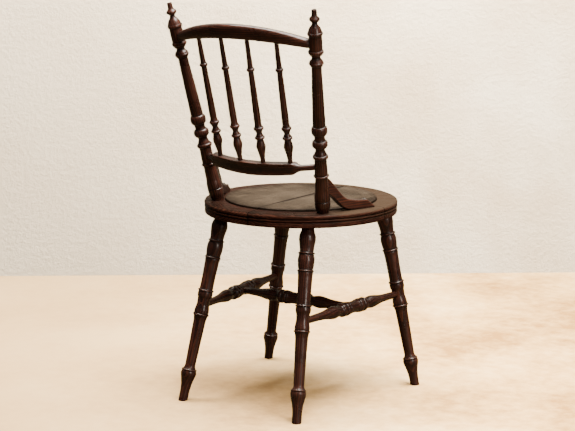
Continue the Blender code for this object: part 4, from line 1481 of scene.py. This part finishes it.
def rub_by_sitting(tree, shader, colour, rough):
    """Dulls the top of the rim, and rubs it bare to the front and right."""
    parts = add(tree, "SeparateXYZ", {"Vector": add(tree, "TexCoord").outputs["Object"]}).outputs
    facing_up = upward(tree)
    to_front = between(tree, plus(tree, parts[1], times(tree, parts[0], 1.1)), 0.02, -0.16)
    along_grain = stretched(tree, stored(tree, "grain", vector=True), 0.15)
    patches = speckle(tree, along_grain, 120.0, 5.0, 0.65)
    mask = times(tree, between(tree, facing_up, 0.1, 0.9, 0.35, 1.0), to_front)
    mask = between(tree, plus(tree, mask, uneven_by(tree, patches, 0.9)), 0.25, 0.9)
    colour = blend(tree, between(tree, facing_up, 0.5, 0.95, 0.0, 0.65), colour, DULL_COLOUR)
    colour = blend(tree, times(tree, mask, 0.85), colour, BARE_COLOUR)
    tree.links.new(colour, shader.inputs["Base Color"])
    tree.links.new(plus(tree, rough, times(tree, mask, 0.2)), shader.inputs["Roughness"])


rim_wood, tree, shader, colour, rough = wood_recipe(
    "rim_wood",
    dark=(0.0042, 0.0020, 0.0016), mid=(0.0210, 0.0085, 0.0058), light=(0.068, 0.0215, 0.0125),
    rubbed=(0.075, 0.031, 0.018), dust_share=0.05, outline_shade_share=0.0, shine=0.012,
)
rub_by_sitting(tree, shader, colour, rough)
print("rim wood has", len(tree.nodes), "nodes")

# %% [markdown]
# The seat panel has lost nearly all of its varnish. It is a dry grey-brown, palest where people
# sit, with dark fibres, fine scratches, a dark line of dirt at its edge and a darker band by the
# crack.

# %% Worn wood of the seat panel

PANEL_COLOURS = ((0.0045, 0.0029, 0.0018), (0.0145, 0.0098, 0.0062), (0.031, 0.0225, 0.0155))
SAT_ON_COLOUR = (0.032, 0.0238, 0.0165)
OUTER_COLOUR = (0.0075, 0.0042, 0.0026)
FIBRE_COLOUR = (0.008, 0.005, 0.003)
DARK_LINE_COLOUR = (0.006, 0.004, 0.003)


def crack_dark_band(tree, place):
    """A darker band on both sides of the crack, wider towards the front."""
    parts = add(tree, "SeparateXYZ", {"Vector": place}).outputs
    wander = uneven_by(tree, speckle(tree, place, 60.0, 3.0), 0.004)
    from_crack = maths(tree, "ABSOLUTE", plus(tree, minus(tree, parts[0], split_x), wander))
    reach = between(tree, parts[1], 0.12, 0.02, 0.0020, 0.0062)
    return between(tree, maths(tree, "DIVIDE", from_crack, reach), 1.0, 0.6)


def build_panel_wood():
    material, tree, shader = new_material("worn_panel_wood")
    shader.inputs["Specular IOR Level"].default_value = 0.03
    grain_place, edge = stored(tree, "grain", vector=True), stored(tree, "edge")
    grain = use_group(tree, grain_group, Place=grain_place, Rings=48.0)
    place = add(tree, "TexCoord").outputs["Object"]
    panel_middle = seat_centre + Vector((0, 0, panel_top))
    apart = add(tree, "VectorMath", {0: place, 1: panel_middle}, operation="DISTANCE")
    from_middle = apart.outputs["Value"]
    stops = zip((0.32, 0.5, 0.68), PANEL_COLOURS)
    colour = ramp(tree, figure_of(tree, grain, 0.30, 1.1), *stops)
    blotches = speckle(tree, place, 11.0, 5.0, 0.6)
    worn = between(tree, minus(tree, times(tree, blotches, 0.16), from_middle), -0.10, 0.02)
    colour = blend(tree, times(tree, worn, 0.5), colour, SAT_ON_COLOUR)
    outer = between(tree, plus(tree, from_middle, times(tree, blotches, 0.02)), 0.160, 0.182)
    colour = blend(tree, times(tree, outer, 0.6), colour, OUTER_COLOUR)
    colour = blend(tree, times(tree, grain["Pores"], 0.55), colour, FIBRE_COLOUR)
    # A darker band along the crack, and dirt on the sunk sides of the panel.
    crack_band = crack_dark_band(tree, place)
    edge_dirt_and_crack_band = maths(tree, "MAXIMUM", crack_band, between(tree, minus(tree, 0.0, edge), 0.1, 0.7))
    colour = blend(tree, times(tree, edge_dirt_and_crack_band, 0.95), colour, DARK_LINE_COLOUR)
    tree.links.new(colour, shader.inputs["Base Color"])
    scratches = times(tree, speckle(tree, place, 300.0, 2.0), 0.4)
    uneven = plus(tree, times(tree, grain["Streaks"], 0.6), scratches)
    tree.links.new(between(tree, uneven, 0.3, 0.7, 0.42, 0.66), shader.inputs["Roughness"])
    height = minus(tree, grain["Streaks"], times(tree, grain["Pores"], 0.8))
    bump = add(tree, "Bump", {"Height": height, "Strength": 0.8, "Distance": 0.5 * MM})
    tree.links.new(bump.outputs[0], shader.inputs["Normal"])
    return material


panel_wood = build_panel_wood()
print(panel_wood.name, "has", len(panel_wood.node_tree.nodes), "nodes")

# %% [markdown]
# The screws are plain steel that has gone brown-black, with a little bare metal on the edges of
# the slot where a screwdriver has slipped.

# %% Old steel


def build_steel():
    material, tree, shader = new_material("old_steel")
    place, edge = stored(tree, "grain", vector=True), stored(tree, "edge")
    wear = use_group(tree, wear_group, Place=place, Edge=edge, Spread=0.8)
    rust = between(tree, speckle(tree, place, 900.0, 4.0), 0.40, 0.62)
    colour = blend(tree, rust, (0.026, 0.021, 0.017), (0.016, 0.008, 0.005))
    colour = blend(tree, times(tree, wear["Worn"], 0.5), colour, (0.09, 0.08, 0.07))
    tree.links.new(colour, shader.inputs["Base Color"])
    tree.links.new(between(tree, rust, 0.0, 1.0, 0.6, 0.1), shader.inputs["Metallic"])
    tree.links.new(between(tree, rust, 0.0, 1.0, 0.5, 0.8), shader.inputs["Roughness"])
    bump = add(tree, "Bump", {"Height": rust, "Strength": 0.4, "Distance": 0.1 * MM})
    tree.links.new(bump.outputs[0], shader.inputs["Normal"])
    return material


old_steel = build_steel()
finish_of = {
    "turned wood": turned_wood, "rim wood": rim_wood,
    "worn panel": panel_wood, "screw steel": old_steel,
}
for finish, pieces in finishes.items():
    for piece in pieces:
        piece.data.materials.clear()
        piece.data.materials.append(finish_of[finish])
    print(finish, "on", len(pieces), "pieces")

# %% [markdown]
# The chair stands on a pale floor in front of a rough white wall. Such a pale room would light
# the chair from all sides and wash out its dark wood, so both throw back only a tenth of the light
# that they show. The wall shows only its front, so that it never hides the chair from the other
# side: where a ray meets its back it is clear.

# %% Floor and wall

FLOOR_SIZE, WALL_SIZE = 12, 8
WALL_BEHIND = 1.22
WALL_TURN = 36.5
THROWN_BACK = 0.10


def dim_to_others(tree, colour):
    """The colour as the camera sees it, and a tenth as bright in the light that it throws back."""
    seen = add(tree, "LightPath").outputs["Is Camera Ray"]
    dimmed = add(tree, "HueSaturation", {"Color": colour, "Value": THROWN_BACK}).outputs[0]
    return blend(tree, seen, dimmed, colour)


def shade_towards_side(tree, place, direction, colour, far):
    """Painted shade: the colour greyed and darkened towards one side of the room, where less light
    falls.
    """
    along = add(tree, "VectorMath", {0: place, 1: direction}, operation="DOT_PRODUCT")
    share = between(tree, along.outputs["Value"], 0.5, -0.7, 0.0, 0.85)
    return blend(tree, share, colour, far)


def build_floor_paint():
    material, tree, shader = new_material("pale_floor")
    place = add(tree, "TexCoord").outputs["Object"]
    broad = speckle(tree, place, 2.2, 4.0, 0.55)
    fine = speckle(tree, place, 30.0, 5.0, 0.65)
    mixed = plus(tree, times(tree, broad, 0.7), times(tree, fine, 0.3))
    stops = (0.38, (0.42, 0.215, 0.06)), (0.50, (0.70, 0.42, 0.155)), (0.62, (0.88, 0.60, 0.28))
    colour = ramp(tree, mixed, *stops)
    # painted shade: the floor darkens towards one side
    colour = shade_towards_side(tree, place, (-0.82, -0.57, 0.0), colour, (0.46, 0.30, 0.14))
    tree.links.new(dim_to_others(tree, colour), shader.inputs["Base Color"])
    shader.inputs["Roughness"].default_value = 0.6
    shader.inputs["Specular IOR Level"].default_value = 0.25
    bump = add(tree, "Bump", {"Height": fine, "Strength": 0.15, "Distance": 2 * MM})
    tree.links.new(bump.outputs[0], shader.inputs["Normal"])
    return material


def build_wall_plaster():
    material, tree, shader = new_material("white_plaster")
    place = add(tree, "TexCoord").outputs["Object"]
    rough_coat = speckle(tree, place, 62.0, 6.0, 0.75)
    stops = (0.35, (0.76, 0.60, 0.39)), (0.65, (0.95, 0.82, 0.60))
    colour = ramp(tree, speckle(tree, place, 3.0, 4.0), *stops)
    # painted shade: the wall darkens towards one side
    colour = shade_towards_side(tree, place, (1.0, 0.0, 0.0), colour, (0.60, 0.50, 0.36))
    tree.links.new(dim_to_others(tree, colour), shader.inputs["Base Color"])
    shader.inputs["Roughness"].default_value = 0.85
    bump = add(tree, "Bump", {"Height": rough_coat, "Strength": 0.7, "Distance": 6 * MM})
    tree.links.new(bump.outputs[0], shader.inputs["Normal"])
    clear = add(tree, "BsdfTransparent")
    mixed = add(tree, "MixShader", {"Fac": add(tree, "NewGeometry").outputs["Backfacing"]})
    tree.links.new(shader.outputs[0], mixed.inputs[1])
    tree.links.new(clear.outputs[0], mixed.inputs[2])
    tree.links.new(mixed.outputs[0], tree.nodes["Material Output"].inputs["Surface"])
    return material


def make_floor_and_wall():
    start_afresh()
    bpy.ops.mesh.primitive_plane_add(size=FLOOR_SIZE, location=(0, 0, 0))
    floor = name_new_piece("floor")
    floor.data.materials.append(build_floor_paint())
    start_afresh()
    bpy.ops.mesh.primitive_plane_add(size=WALL_SIZE, location=(0, 0, 0))
    wall = name_new_piece("wall")
    wall.data.materials.append(build_wall_plaster())
    heading = math.radians(WALL_TURN)
    away = Vector((math.sin(heading), -math.cos(heading), 0))
    facing = (-away).to_track_quat("Z", "Y").to_matrix().to_4x4()
    wall.matrix_world = Matrix.Translation(away * WALL_BEHIND) @ facing
    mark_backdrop(floor, wall)
    return wall


wall = make_floor_and_wall()
print("wall stands", WALL_BEHIND, "m behind the chair")

# %% [markdown]
# Three panels light the chair. A square one overhead lights the seat and the floor under it. A
# long one hangs before the wall and washes it, so the chair stands out dark against it. A narrow
# upright one beside the chair is a little warmer and puts a streak down each turned piece. The
# surroundings stay dim, so that the sides of the turnings fall away to near black.

# %% Lights


def area_light(name, place, target, size, power, colour):
    """A flat panel of this width and height, in metres, that faces its target."""
    data = bpy.data.lights.new(name, "AREA")
    data.shape = "RECTANGLE"
    data.size, data.size_y = size
    data.energy = power
    data.color = colour
    light = bpy.data.objects.new(name, data)
    bpy.context.scene.collection.objects.link(light)
    light.location = place
    light.rotation_euler = (Vector(target) - Vector(place)).to_track_quat("-Z", "Y").to_euler()
    return light


area_light("overhead", (-0.8, 0.2, 2.9), (-0.1, 0, 0.3), (1.4, 1.4), 370, (1.0, 0.94, 0.86))
area_light("wall wash", (0.25, -0.35, 2.7), (0.72, -0.98, 0.75), (2.6, 0.8), 430, (1.0, 0.94, 0.84))
area_light("side", (-3.2, 1.2, 1.5), (0, 0, 0.35), (0.7, 1.6), 95, (1.0, 0.90, 0.80))
print("lights:", [light.name for light in bpy.data.lights])

world = bpy.data.worlds.new("room")
world.use_nodes = True
world.node_tree.nodes["Background"].inputs["Color"].default_value = (1.0, 0.96, 0.90, 1.0)
world.node_tree.nodes["Background"].inputs["Strength"].default_value = 0.16
bpy.context.scene.world = world

# %% [markdown]
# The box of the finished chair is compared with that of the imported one, and both are kept.

# %% Measure and finish

seen_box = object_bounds()
for label, low, high in (("low", cad_box[0], seen_box[0]), ("high", cad_box[1], seen_box[1])):
    print(label, "corner differs by", [round((b - a) / MM, 2) for a, b in zip(low, high)], "mm")
